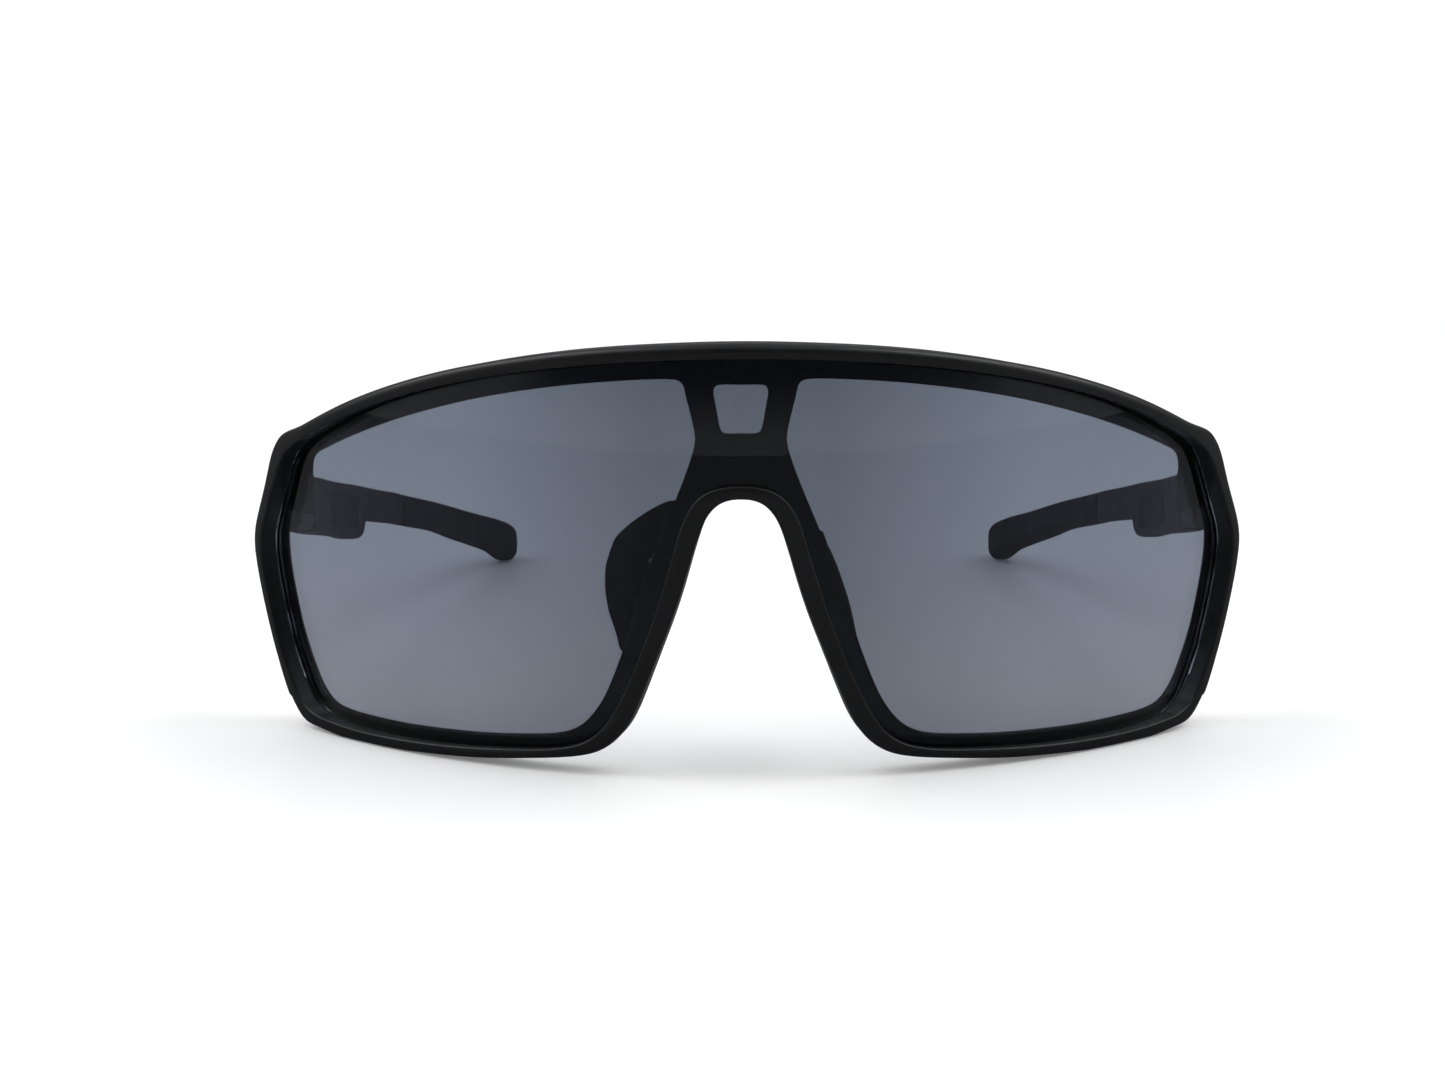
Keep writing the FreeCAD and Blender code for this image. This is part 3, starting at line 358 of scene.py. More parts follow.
def steel(name, base=(0.36, 0.36, 0.375), rough=(0.22, 0.42)):
    m, nt, out = node_mat(name)
    L = nt.links
    tc = N(nt, "ShaderNodeTexCoord")
    mp = N(nt, "ShaderNodeMapping")
    mp.inputs["Scale"].default_value = (2500.0, 2500.0, 180.0)
    L.new(tc.outputs["Object"], mp.inputs["Vector"])
    nz = N(nt, "ShaderNodeTexNoise")
    nz.inputs["Scale"].default_value = 1.0
    nz.inputs["Detail"].default_value = 6.0
    L.new(mp.outputs["Vector"], nz.inputs["Vector"])
    col = ramp(nt, nz.outputs["Fac"], [(0.3, [c * 0.75 for c in base]), (0.7, base)])
    rr = N(nt, "ShaderNodeMapRange")
    L.new(nz.outputs["Fac"], rr.inputs["Value"])
    rr.inputs["To Min"].default_value = rough[0]
    rr.inputs["To Max"].default_value = rough[1]
    b = N(nt, "ShaderNodeBump")
    b.inputs["Strength"].default_value = 0.25
    b.inputs["Distance"].default_value = 0.00002
    L.new(nz.outputs["Fac"], b.inputs["Height"])
    p = N(nt, "ShaderNodeBsdfPrincipled")
    p.inputs["Metallic"].default_value = 1.0
    L.new(col.outputs["Color"], p.inputs["Base Color"])
    L.new(rr.outputs["Result"], p.inputs["Roughness"])
    L.new(b.outputs["Normal"], p.inputs["Normal"])
    L.new(p.outputs[0], out.inputs["Surface"])
    return m


def lens_material(name):
    """Smoke polycarbonate: refracting body with its tint, painted darker toward the top and the middle where dim
    surroundings are mirrored, a faint flash coat, light dust.
    """
    m, nt, out = node_mat(name)
    L = nt.links
    tc = N(nt, "ShaderNodeTexCoord")
    sep = N(nt, "ShaderNodeSeparateXYZ")
    L.new(tc.outputs["Object"], sep.inputs[0])
    up = N(nt, "ShaderNodeMapRange")
    L.new(sep.outputs["Z"], up.inputs["Value"])
    up.inputs["From Min"].default_value = 0.0
    up.inputs["From Max"].default_value = 0.056
    # smoke tint, with painted shade: darker toward the top, standing in for the dim surroundings mirrored in the upper
    # shield
    smoke_tint_and_painted_shade = ramp(nt, up.outputs["Result"], [(0.0, (0.222, 0.238, 0.280)), (0.55, (0.176, 0.200, 0.250)), (1.0, (0.150, 0.176, 0.222))])
    # painted shade: the tint is darker in the middle of the shield than out at the sides, standing in for the dim
    # surroundings mirrored there
    ax_ = N(nt, "ShaderNodeMath", operation="ABSOLUTE")
    L.new(sep.outputs["X"], ax_.inputs[0])
    painted_middle_shade = ramp(nt, ax_.outputs[0], [(0.012, (0.58, 0.58, 0.58)), (0.038, (0.93, 0.93, 0.93)), (0.06, (0.97, 0.97, 0.97))])
    shade = N(nt, "ShaderNodeMix", data_type="RGBA", blend_type="MULTIPLY")
    shade.inputs["Factor"].default_value = 1.0
    L.new(smoke_tint_and_painted_shade.outputs["Color"], shade.inputs["A"])
    L.new(painted_middle_shade.outputs["Color"], shade.inputs["B"])
    dust = N(nt, "ShaderNodeTexNoise")
    dust.inputs["Scale"].default_value = 90.0
    dust.inputs["Detail"].default_value = 6.0
    dust.inputs["Roughness"].default_value = 0.65
    L.new(tc.outputs["Object"], dust.inputs["Vector"])
    rr = N(nt, "ShaderNodeMapRange")
    L.new(dust.outputs["Fac"], rr.inputs["Value"])
    rr.inputs["From Min"].default_value = 0.35
    rr.inputs["From Max"].default_value = 0.75
    rr.inputs["To Min"].default_value = 0.0
    rr.inputs["To Max"].default_value = 0.03
    body = N(nt, "ShaderNodeBsdfPrincipled")
    L.new(shade.outputs["Result"], body.inputs["Base Color"])
    body.inputs["Transmission Weight"].default_value = 1.0
    body.inputs["IOR"].default_value = 1.5
    body.inputs["Roughness"].default_value = 0.0
    body.inputs["Specular Tint"].default_value = (0.50, 0.52, 0.56, 1.0)
    body.inputs["Coat Weight"].default_value = 0.12
    body.inputs["Coat IOR"].default_value = 1.5
    L.new(rr.outputs["Result"], body.inputs["Coat Roughness"])
    body.inputs["Coat Tint"].default_value = (0.97, 0.98, 1.0, 1.0)
    # shadow rays see a plain tinted sheet, so the table behind gets a soft grey shade
    clear = N(nt, "ShaderNodeBsdfTransparent")
    clear.inputs["Color"].default_value = (0.62, 0.64, 0.67, 1.0)
    lp = N(nt, "ShaderNodeLightPath")
    mix = N(nt, "ShaderNodeMixShader")
    L.new(lp.outputs["Is Shadow Ray"], mix.inputs[0])
    L.new(body.outputs[0], mix.inputs[1])
    L.new(clear.outputs[0], mix.inputs[2])
    L.new(mix.outputs[0], out.inputs["Surface"])
    return m


M_FRAME = plastic("frame_satin_black", (0.003, 0.003, 0.0036), (0.006, 0.006, 0.007), rough=(0.28, 0.42), grain=5200, bump=0.05, wear=0.25, specular=0.42)
M_ARM = plastic("temple_satin_black", (0.007, 0.007, 0.008), (0.013, 0.013, 0.015), rough=(0.34, 0.50), grain=4300, bump=0.06, wear=0.22, specular=0.42)
M_SADDLE = plastic("saddle_matt_black", (0.003, 0.003, 0.004), (0.006, 0.006, 0.007), rough=(0.5, 0.66), grain=3600, bump=0.07, wear=0.15, specular=0.3)
M_PAD = plastic("pad_soft_rubber", (0.0025, 0.0028, 0.005), (0.005, 0.0055, 0.009), rough=(0.55, 0.75), grain=2600, bump=0.10, wear=0.10, specular=0.2)
M_TIP = plastic("tip_soft_rubber", (0.004, 0.005, 0.0075), (0.008, 0.0095, 0.013), rough=(0.52, 0.74), grain=2600, bump=0.10, wear=0.12, specular=0.3)
M_INSERT = plastic("insert_soft_rubber", (0.007, 0.0085, 0.011), (0.013, 0.015, 0.019), rough=(0.6, 0.8), grain=2400, bump=0.12, wear=0.1, specular=0.25)
M_STEEL = steel("hinge_steel_brushed", base=(0.22, 0.22, 0.23))
M_WIRE = steel("core_wire_drawn", base=(0.4, 0.39, 0.38), rough=(0.25, 0.4))
M_LENS = lens_material("smoke_lens")


def assign(ob, mat):
    ob.data.materials.clear()
    ob.data.materials.append(mat)


# ---------------------------------------------------------------- front frame
NR = 900
outer_lp, tt = loop(both_sides(OUTER), NR)
outer_lp = grow(outer_lp, np.interp(np.abs(outer_lp[:, 0]), [30, 55, 70], [0.0, 0.12, 0.3]) * (outer_lp[:, 1] > 3)
                + np.interp(np.abs(outer_lp[:, 0]), [62, 70], [0.0, 1.0])
                * np.interp(outer_lp[:, 1], [0, 3.8, 8.6, 16.5, 25, 30.5, 36, 41, 43], [0.1, 0.4, 0.3, 0.2, 0.22, 0.4, 0.25, 0.3, 0.0]))
outer_lp[:, 1] = np.maximum(outer_lp[:, 1], -UP)
front_lp = loop_at(both_sides(FRONT), tt)
front_lp = grow(front_lp, np.interp(np.abs(front_lp[:, 0]), [69, 74], [0.0, 0.7]))
lens_lp = grow(front_lp, 0.63)
toward = front_lp - outer_lp
width = np.linalg.norm(toward, axis=1)
toward /= width[:, None]
outer_in = -normals(outer_lp)


def rim_ring(B, a, drop):
    """Ring on the rim's face: a mm in from the outer edge, drop mm under the front surface."""
    p = outer_lp + toward * np.asarray(a).reshape(-1, 1)
    return B.add(place(p[:, 0], p[:, 1], r_front(p[:, 0], p[:, 1]) - drop))


B = Builder()
RO, RI = np.interp(np.abs(outer_lp[:, 0]), [58, 70], [0.9, 0.5]), 0.28
rings = []
# outer wall from the back up to the front, then across the face, then down the inner wall
back_d = 3.7
for ph in np.linspace(0, math.pi / 2, 6):
    ins = 0.55 * (1 - math.sin(ph))
    dep = 0.55 * (1 - math.cos(ph))
    p = outer_lp + outer_in * ins
    rings.append(B.add(place(p[:, 0], p[:, 1], r_lens(p[:, 1], back_d) + dep)))
rw0 = r_lens(outer_lp[:, 1], back_d) + 0.55
rw1 = r_front(outer_lp[:, 0], outer_lp[:, 1]) - RO
for k in range(1, 5):
    u = k / 5.0
    rings.append(B.add(place(outer_lp[:, 0], outer_lp[:, 1], rw0 * (1 - u) + rw1 * u)))
for ph in np.linspace(0, math.pi / 2, 8):
    rings.append(rim_ring(B, RO * (1 - math.cos(ph)), RO * (1 - math.sin(ph))))
for u in (0.25, 0.5, 0.75, 0.92):
    a = RO + (width - RI - RO) * u
    rings.append(rim_ring(B, a, 0.07 * u * u))
for ph in np.linspace(0, math.pi / 2, 6):
    rings.append(rim_ring(B, width - RI * (1 - math.sin(ph)), 0.07 + RI * (1 - math.cos(ph))))
ri0 = r_front(front_lp[:, 0], front_lp[:, 1]) - 0.07 - RI
ri1 = r_lens(front_lp[:, 1], -0.03)
for u in (0.33, 0.66, 1.0):
    rings.append(B.add(place(front_lp[:, 0], front_lp[:, 1], ri0 * (1 - u) + ri1 * u)))
rings.append(B.add(place(lens_lp[:, 0], lens_lp[:, 1], r_lens(lens_lp[:, 1], -0.03))))
rings.append(B.add(place(lens_lp[:, 0], lens_lp[:, 1], r_lens(lens_lp[:, 1], 2.03))))
for a, b in zip(rings, rings[1:]):
    B.strip(a, b)

# plate behind the lens, with its two openings and the small window
hole_pts = [loop(CLEAR, 460)[0], loop(mirrored(CLEAR), 460)[0], loop(both_sides(WINDOW), 120)[0]]
for k in (0, 1):
    hole_pts[k] = grow(hole_pts[k], np.interp(np.abs(hole_pts[k][:, 0]), [70.8, 75], [0.0, 0.7]))
FR, BR = 0.30, 0.5
front_holes, back_holes, wall_rings = [], [], []
for lp in hole_pts:
    rr_ = []
    for ph in np.linspace(0, math.pi / 2, 6):                 # front edge of the opening
        q = grow(lp, FR * (1 - math.sin(ph)))
        rr_.append((q, "f", FR * (1 - math.cos(ph))))
    side_w = np.interp(np.abs(lp[:, 0]), [70.8, 75], [0.0, 1.0])   # the sides have a flat bevel instead of a round
    for ph in np.linspace(0, math.pi / 2, 6):                 # back edge
        t_ = ph / (math.pi / 2)
        q = grow(lp, (1 - side_w) * BR * (1 - math.cos(ph)) + side_w * 0.7 * t_)
        rr_.append((q, "b", (1 - side_w) * BR * (1 - math.sin(ph)) + side_w * 0.95 * (1 - t_)))
    ids = []
    for q, side, dep in rr_:
        if side == "f":
            r = r_lens(q[:, 1], 2.03) - dep
        else:
            r = r_lens(q[:, 1], back_d) + dep
        ids.append(B.add(place(q[:, 0], q[:, 1], r)))
    for a, b in zip(ids, ids[1:]):
        B.strip(a, b)
    front_holes.append((grow(lp, FR), ids[0]))
    back_holes.append((grow(lp, (1 - side_w) * BR + side_w * 0.7), ids[-1]))


def plate(B, outer, outer_ids, holes, depth):
    pts, tri, ranges = region(outer, [h for h, _ in holes], 1.7, 0.55)
    n0 = sum(len(r) for r in ranges)
    extra = B.add(place(pts[n0:, 0], pts[n0:, 1], r_lens(pts[n0:, 1], depth)))
    idx = np.concatenate([outer_ids] + [i for _, i in holes] + [extra])
    B.tris(idx, tri)


plate(B, lens_lp, rings[-1], front_holes, 2.03)
back_outer = outer_lp + outer_in * 0.55
plate(B, back_outer, rings[0], back_holes, back_d)
rim = B.mesh("rim_frame", sharp_deg=50)
assign(rim, M_FRAME)
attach(rim, "front")

# ---------------------------------------------------------------- lens
B = Builder()
fl_ = loop(both_sides(FRONT), 300)[0]
lens_edge, _ = loop([tuple(p) for p in grow(fl_, 0.58 + np.interp(np.abs(fl_[:, 0]), [69, 74], [0.0, 0.7]))], 700)
RE = 0.22
front_ids = back_ids = None
ids = []
for ph in np.linspace(0, math.pi / 2, 4):
    q = grow(lens_edge, -RE * math.cos(ph) * 0 - RE * (1 - math.sin(ph)))
    ids.append((q, B.add(place(q[:, 0], q[:, 1], r_lens(q[:, 1], 0.0) - RE * (1 - math.cos(ph)) * 1.0))))
for ph in np.linspace(0, math.pi / 2, 4):
    q = grow(lens_edge, -RE * (1 - math.cos(ph)))
    ids.append((q, B.add(place(q[:, 0], q[:, 1], r_lens(q[:, 1], 2.0) + RE * (1 - math.sin(ph))))))
for (qa, a), (qb, b) in zip(ids, ids[1:]):
    B.strip(a, b)
for (q, i), depth in ((ids[0], 0.0), (ids[-1], 2.0)):
    pts, tri, ranges = region(q, [], 2.2, 0.7)
    extra = B.add(place(pts[len(q):, 0], pts[len(q):, 1], r_lens(pts[len(q):, 1], depth)))
    B.tris(np.concatenate([i, extra]), tri)
lens = B.mesh("lens_shield", sharp_deg=60)
assign(lens, M_LENS)
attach(lens, "front")
# exact normals on the two optical surfaces, so that reflections run smoothly
me = lens.data
co = np.empty(len(me.vertices) * 3)
me.vertices.foreach_get("co", co)
co = co.reshape(-1, 3) * 1000.0
co[:, 1] += SH
co[:, 2] -= UP
vn = np.empty(len(me.vertices) * 3)
me.vertices.foreach_get("normal", vn)
vn = vn.reshape(-1, 3)
rad = np.hypot(co[:, 0], co[:, 1] - AX)
for depth, sign in ((0.0, 1.0), (2.0, -1.0)):
    on = np.abs(rad - r_lens(co[:, 2], depth)) < 0.01
    rv = 240.0 - depth
    slope = (co[:, 2] - ZC) / np.sqrt(rv * rv - (co[:, 2] - ZC) ** 2)
    nn = np.stack([co[:, 0] / rad, (co[:, 1] - AX) / rad, slope], 1)
    nn /= np.linalg.norm(nn, axis=1)[:, None]
    vn[on] = nn[on] * sign
me.normals_split_custom_set_from_vertices([tuple(map(float, v)) for v in vn])

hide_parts("front_frame")
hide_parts("shield_lens")


# ---------------------------------------------------------------- lofts with rounded sections
def rounded_rect(hw, hh, radii, per=7):
    """Ring of points of a rounded rectangle: radii for the corners (+,+), (-,+), (-,-), (+,-)."""
    pts = []
    lim = min(hw, hh) * 0.98
    for k, (sx, sy) in enumerate(((1, 1), (-1, 1), (-1, -1), (1, -1))):
        r = min(radii[k], lim)
        cx, cy = sx * (hw - r), sy * (hh - r)
        a0 = k * math.pi / 2
        for j in range(per):
            a = a0 + (math.pi / 2) * j / (per - 1)
            pts.append((cx + r * math.cos(a), cy + r * math.sin(a)))
    # a few points along the flats keep the sections even
    out = []
    n = len(pts)
    for i in range(n):
        out.append(pts[i])
        if i % per == per - 1:
            a, b = pts[i], pts[(i + 1) % n]
            for u in (0.2, 0.4, 0.6, 0.8):
                out.append((a[0] + (b[0] - a[0]) * u, a[1] + (b[1] - a[1]) * u))
    return out


def cubic(xs, ys):
    """Monotone-ish cubic interpolation through a table."""
    xs, ys = np.array(xs, float), np.array(ys, float)
    h = np.diff(xs)
    d = np.diff(ys) / h
    m = np.empty(len(xs))
    m[0], m[-1] = d[0], d[-1]
    for i in range(1, len(xs) - 1):
        m[i] = 0.0 if d[i - 1] * d[i] <= 0 else 3 * (h[i - 1] + h[i]) / ((2 * h[i] + h[i - 1]) / d[i - 1] + (h[i] + 2 * h[i - 1]) / d[i])

    def f(x):
        x = np.clip(x, xs[0], xs[-1])
        i = np.clip(np.searchsorted(xs, x) - 1, 0, len(xs) - 2)
        t = (x - xs[i]) / h[i]
        return ((2 * t ** 3 - 3 * t ** 2 + 1) * ys[i] + (t ** 3 - 2 * t ** 2 + t) * h[i] * m[i]
                + (-2 * t ** 3 + 3 * t ** 2) * ys[i + 1] + (t ** 3 - t ** 2) * h[i] * m[i + 1])
    return f


TOP = [(HY, 33.15), (48, 32.1), (56, 30.2), (68, 27.7), (80, 25.0), (90, 22.8), (101, 20.1), (111, 17.6)]
BELLY = [(111, 12.5), (101, 14.9), (90, 17.4), (81, 19.3), (74.5, 20.6), (72.2, 20.9), (70.9, 20.5), (69.7, 19.2),
         (68.6, 18.9), (66, 19.2), (58, 21.2), (50, 22.9), (45.5, 24.0), (43.8, 24.6), (HY, 25.6)]
TIP_TOP = [(86, 23.72), (95, 21.6), (101, 20.15), (111, 17.65), (121, 14.85), (133.6, 11.47), (144.9, 8.49), (151.2, 6.6), (154.5, 4.82),
           (155.25, 2.69)]
TIP_LOW = [(155.0, 0.6), (153.75, -0.75), (151.5, -1.26), (148.95, -0.55), (144.9, 1.44), (133.6, 5.22), (121, 9.0), (111, 12.3), (101, 14.75),
           (95, 16.2), (86, 18.25)]
INNER = [(64.1, HY), (63.9, 50), (63.2, 60), (62.5, 70), (61.6, 80), (60.4, 90), (59.0, 100), (57.1, 110),
         (54.8, 120), (52.6, 132.3), (51.36, 138.6), (50.0, 144.9), (48.17, 153.7), (47.72, 156.3)]
THICK = [(HY, 4.85), (48, 4.6), (56, 4.1), (66, 3.6), (80, 3.2), (90, 3.1), (100, 3.3), (110, 3.6), (125, 3.9), (144.9, 4.2),
         (153.7, 4.3), (156.3, 4.3)]
f_in = cubic([y for x, y in INNER], [x for x, y in INNER])
f_th = cubic([a for a, b in THICK], [b for a, b in THICK])
f_top = cubic([a for a, b in TOP], [b for a, b in TOP])
f_bot = cubic([a for a, b in reversed(BELLY)], [b for a, b in reversed(BELLY)])


def loft(name, sections, side, sharp=45.0):
    """sections: list of (x_in, x_out, top (y, z), bottom (y, z), (radius outer, radius inner)).
    side is +1 for the wearer's left. Flat end caps."""
    B = Builder()
    prev = None
    rings_ = []
    for x_in, x_out, T, Bm, (ro, ri) in sections:
        hw = (x_out - x_in) / 2
        T, Bm = np.array(T, float), np.array(Bm, float)
        hh = np.linalg.norm(T - Bm) / 2
        ring = rounded_rect(hw, hh, (ro, ri, ri, ro))
        cy, cz = (T + Bm) / 2
        uy, uz = (T - Bm) / (2 * hh)
        xc = (x_in + x_out) / 2
        pts = [((side * (xc + a)) / 1000.0, (cy + uy * b - SH) / 1000.0, (cz + uz * b + UP) / 1000.0) for a, b in ring]
        rings_.append(B.add(pts))
    for a, b in zip(rings_, rings_[1:]):
        B.strip(a, b, flip=side < 0)
    for ring in (rings_[0], rings_[-1]):
        c = B.add([np.mean([B.v[int(k)] for k in ring], axis=0)])[0]
        n = len(ring)
        for i in range(n):
            B.f.append((int(c), int(ring[i]), int(ring[(i + 1) % n])))
    return B.mesh(name, sharp_deg=sharp)


def boolean_cut(ob, cutter):
    mod = ob.modifiers.new("cut", "BOOLEAN")
    mod.operation = "DIFFERENCE"
    mod.solver = "EXACT"
    mod.object = cutter
    dg = bpy.context.evaluated_depsgraph_get()
    new = bpy.data.meshes.new_from_object(ob.evaluated_get(dg))
    ob.modifiers.clear()
    old = ob.data
    ob.data = new
    bpy.data.meshes.remove(old)
    bpy.data.objects.remove(cutter, do_unlink=True)
    shade(ob, 40)


def soft_box(name, lo, hi):
    """A helper solid for cutting, removed afterwards."""
    x0, y0, z0 = lo
    x1, y1, z1 = hi
    v = [mm(x, y, z) for x in (x0, x1) for y in (y0, y1) for z in (z0, z1)]
    me = bpy.data.meshes.new(name)
    me.from_pydata([tuple(p) for p in v], [], [(0, 1, 3, 2), (4, 6, 7, 5), (0, 4, 5, 1), (2, 3, 7, 6), (0, 2, 6, 4), (1, 5, 7, 3)])
    ob = bpy.data.objects.new(name, me)
    COL.objects.link(ob)
    return ob


def arm_sections():
    ys = list(np.concatenate([
        [HY + 0.02, HY + 0.05, HY + 0.12, HY + 0.25, HY + 0.45],
        np.arange(HY + 1.0, 65.0, 0.9), np.arange(65.0, 75.0, 0.28), np.arange(75.0, 92.9, 1.1), [93.0]]))
    secs = []
    for y in ys:
        inset = 0.0
        e = y - HY
        if e < 0.45:
            inset = 0.45 - math.sqrt(max(0.0, 0.45 ** 2 - (0.45 - e) ** 2))
        b = max(0.0, min(1.0, (y - 70) / 20))
        xi, th = float(f_in(y)), float(f_th(y))
        zt, zb = float(f_top(y)), float(f_bot(y))
        if y > 91.6:                       # slips under the tip
            inset = min(0.5, (y - 91.6) * 1.2)
        secs.append((xi + inset, xi + th - inset, (y, zt - inset), (y, zb + inset), (1.25 - 0.15 * b, 0.8)))
    return secs


def tip_sections():
    pairs = [((92.05, 0), (92.05, 0))]
    ft = cubic([a for a, b in TIP_TOP[:8]], [b for a, b in TIP_TOP[:8]])
    low = list(reversed(TIP_LOW))
    fb = cubic([a for a, b in low[:8]], [b for a, b in low[:8]])
    secs = []

    def xio(y, grow_=0.12):
        xi, th = float(f_in(y)), float(f_th(y))
        return xi - grow_, xi + th + grow_
    for y in [92.05, 92.08, 92.15, 92.3, 92.55] + list(np.arange(93.0, 144.7, 0.9)):
        e = y - 92.05
        inset = 0.5 - math.sqrt(max(0.0, 0.25 - (0.5 - e) ** 2)) if e < 0.5 else 0.0
        a, b = xio(y)
        r = 1.45 + 0.35 * min(1.0, max(0.0, (y - 95) / 40))
        secs.append((a + inset, b - inset, (y, float(ft(y)) - inset), (y, float(fb(y)) + inset), (r, r * 0.85)))
    # the rounded end: sections fan round and shrink
    ends = [((144.9, 8.49), (144.9, 1.44)), ((146.5, 8.04), (146.1, 0.82)), ((148.0, 7.62), (147.3, 0.22)), ((149.4, 7.2), (148.5, -0.34)),
            ((150.6, 6.8), (149.7, -0.82)), ((151.7, 6.4), (150.8, -1.14)), ((152.7, 5.98), (151.8, -1.28)), ((153.5, 5.55), (152.7, -1.2)),
            ((154.2, 5.02), (153.5, -0.9)), ((154.75, 4.4), (154.2, -0.4)), ((155.08, 3.7), (154.7, 0.15)), ((155.25, 3.0), (155.05, 0.95))]
    for k, (T, Bm) in enumerate(ends):
        ym = (T[0] + Bm[0]) / 2
        a, b = xio(ym)
        u = max(0.0, (k - 5) / 6.0)
        shrink = (b - a) / 2 * (1 - math.sqrt(max(0.0, 1 - u * u * 0.93)))
        r = 1.8
        secs.append((a + shrink, b - shrink, T, Bm, (r, r)))
    return secs


INSERT = [(52.0, 24.6), (53.2, 28.4), (56.5, 28.3), (62.5, 26.9), (66.6, 25.6), (66.9, 21.6), (66.2, 20.7), (60.0, 22.2), (53.0, 23.9)]


def rounded_poly(pts, r, per=6):
    """Polygon with rounded corners."""
    out = []
    n = len(pts)
    for i in range(n):
        p0, p1, p2 = (np.array(pts[(i + k - 1) % n], float) for k in range(3))
        a, b = p0 - p1, p2 - p1
        la, lb = np.linalg.norm(a), np.linalg.norm(b)
        a, b = a / la, b / lb
        cosang = float(np.clip(a @ b, -1, 1))
        ang = math.acos(cosang)
        if ang > math.radians(168):
            out.append(p1)
            continue
        t = min(r / math.tan(ang / 2), la * 0.45, lb * 0.45)
        s, e = p1 + a * t, p1 + b * t
        for k in range(per):
            u = k / (per - 1)
            out.append((1 - u) ** 2 * s + 2 * u * (1 - u) * p1 + u * u * e)
    return np.array(out)


def insert_mesh(name, side, growth, depth, proud, edge):
    """A pillow set into the inner side of the arm."""
    lp0 = rounded_poly(INSERT, 1.0)
    lp, _ = loop([tuple(p) for p in lp0], 160)
    lp = grow(lp, growth)
    B = Builder()

    def ring(q, off):
        x = np.array([float(f_in(y)) for y in q[:, 0]]) + off
        return B.add(np.stack([side * x, q[:, 0] - SH, q[:, 1] + UP], 1) / 1000.0)
    rings_ = [ring(grow(lp, -0.3), depth), ring(lp, depth - 0.2), ring(lp, -proud + edge)]
    q = lp
    for ph in np.linspace(0, math.pi / 2, 6)[1:]:
        q = grow(lp, -edge * (1 - math.cos(ph)))
        rings_.append(ring(q, -proud + edge * (1 - math.sin(ph))))
    for a, b in zip(rings_, rings_[1:]):
        B.strip(a, b)
    for qq, ids_, off, crown in ((grow(lp, -0.3), rings_[0], depth, 0.0), (q, rings_[-1], -proud, 0.12)):
        pts, tri, _r = region(qq, [], 0.8, 0.35)
        ex = pts[len(qq):]
        if len(ex):
            d = np.min(np.linalg.norm(ex[:, None, :] - qq[None, :, :], axis=2), axis=1)
            x = np.array([float(f_in(y)) for y in ex[:, 0]]) + off - crown * (1 - np.exp(-d / 1.2))
            idx = B.add(np.stack([side * x, ex[:, 0] - SH, ex[:, 1] + UP], 1) / 1000.0)
            idx = np.concatenate([ids_, idx])
        else:
            idx = ids_
        B.tris(idx, tri)
    return B.mesh(name, sharp_deg=50)


for side, nm in ((1, "left"), (-1, "right")):
    arm = loft("arm_" + nm, arm_sections(), side)
    cutter = insert_mesh("cut_" + nm, side, 0.1, 0.75, 1.0, 0.1)
    boolean_cut(arm, cutter)
    # hinge room: the arm is relieved round the knuckles
    Bc = Builder()
    rr0 = [(HX + 1.62 * math.cos(a), HY + 1.62 * math.sin(a)) for a in np.linspace(0, 2 * math.pi, 49)[:-1]]
    lo = Bc.add([(side * x / 1000, (y - SH) / 1000, 0.022) for x, y in rr0])
    hi = Bc.add([(side * x / 1000, (y - SH) / 1000, 0.042) for x, y in rr0])
    Bc.strip(lo, hi)
    Bc.f.append(tuple(int(i) for i in lo))
    Bc.f.append(tuple(int(i) for i in hi))
    boolean_cut(arm, Bc.mesh("cut2_" + nm))
    slot_b = soft_box("cut3_" + nm, (side * (HX - 0.04) if side > 0 else side * (HX + 0.84), HY - 1.0, 27.5),
                      (side * (HX + 0.84) if side > 0 else side * (HX - 0.04), HY + 9.04, 30.7))
    boolean_cut(arm, slot_b)
    assign(arm, M_ARM)
    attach(arm, "temple_" + nm)
    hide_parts("temple_arm_" + nm)
    ins = insert_mesh("arm_insert_" + nm, side, -0.02, 0.7, 0.12, 0.3)
    assign(ins, M_INSERT)
    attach(ins, "temple_" + nm)
    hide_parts("temple_insert_" + nm)
    tip = loft("tip_" + nm, tip_sections(), side, sharp=60)
    assign(tip, M_TIP)
    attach(tip, "temple_" + nm)
    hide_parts("temple_tip_" + nm)

# ---------------------------------------------------------------- endpieces
e_in = cubic([27.0, 29.5, HY - 1.8, 46], [60.2, 60.75, 64.3, 64.9])
e_out = cubic([27.0, 31.6, 34.0, 37.5, HY - 0.1], [68.3, 68.6, 68.9, 68.97, 68.93])
e_top = cubic([26, 31, 35, 38, HY], [36.2, 36.1, 35.6, 34.9, 33.4])
e_bot = cubic([26, 30, 33, 37.5, HY], [29.9, 29.85, 29.1, 27.4, 25.6])


def plate_y(x):
    """Front limit of the endpiece: inside the frame's back plate, clear of the lens groove."""
    x = abs(x)
    if x < 66.0:
        return AX - math.sqrt(85.4 ** 2 - x * x)
    u = min(1.0, (x - 66.0) / 2.0)
    return (AX - math.sqrt(85.4 ** 2 - 66.0 ** 2)) * (1 - u) + 32.2 * u


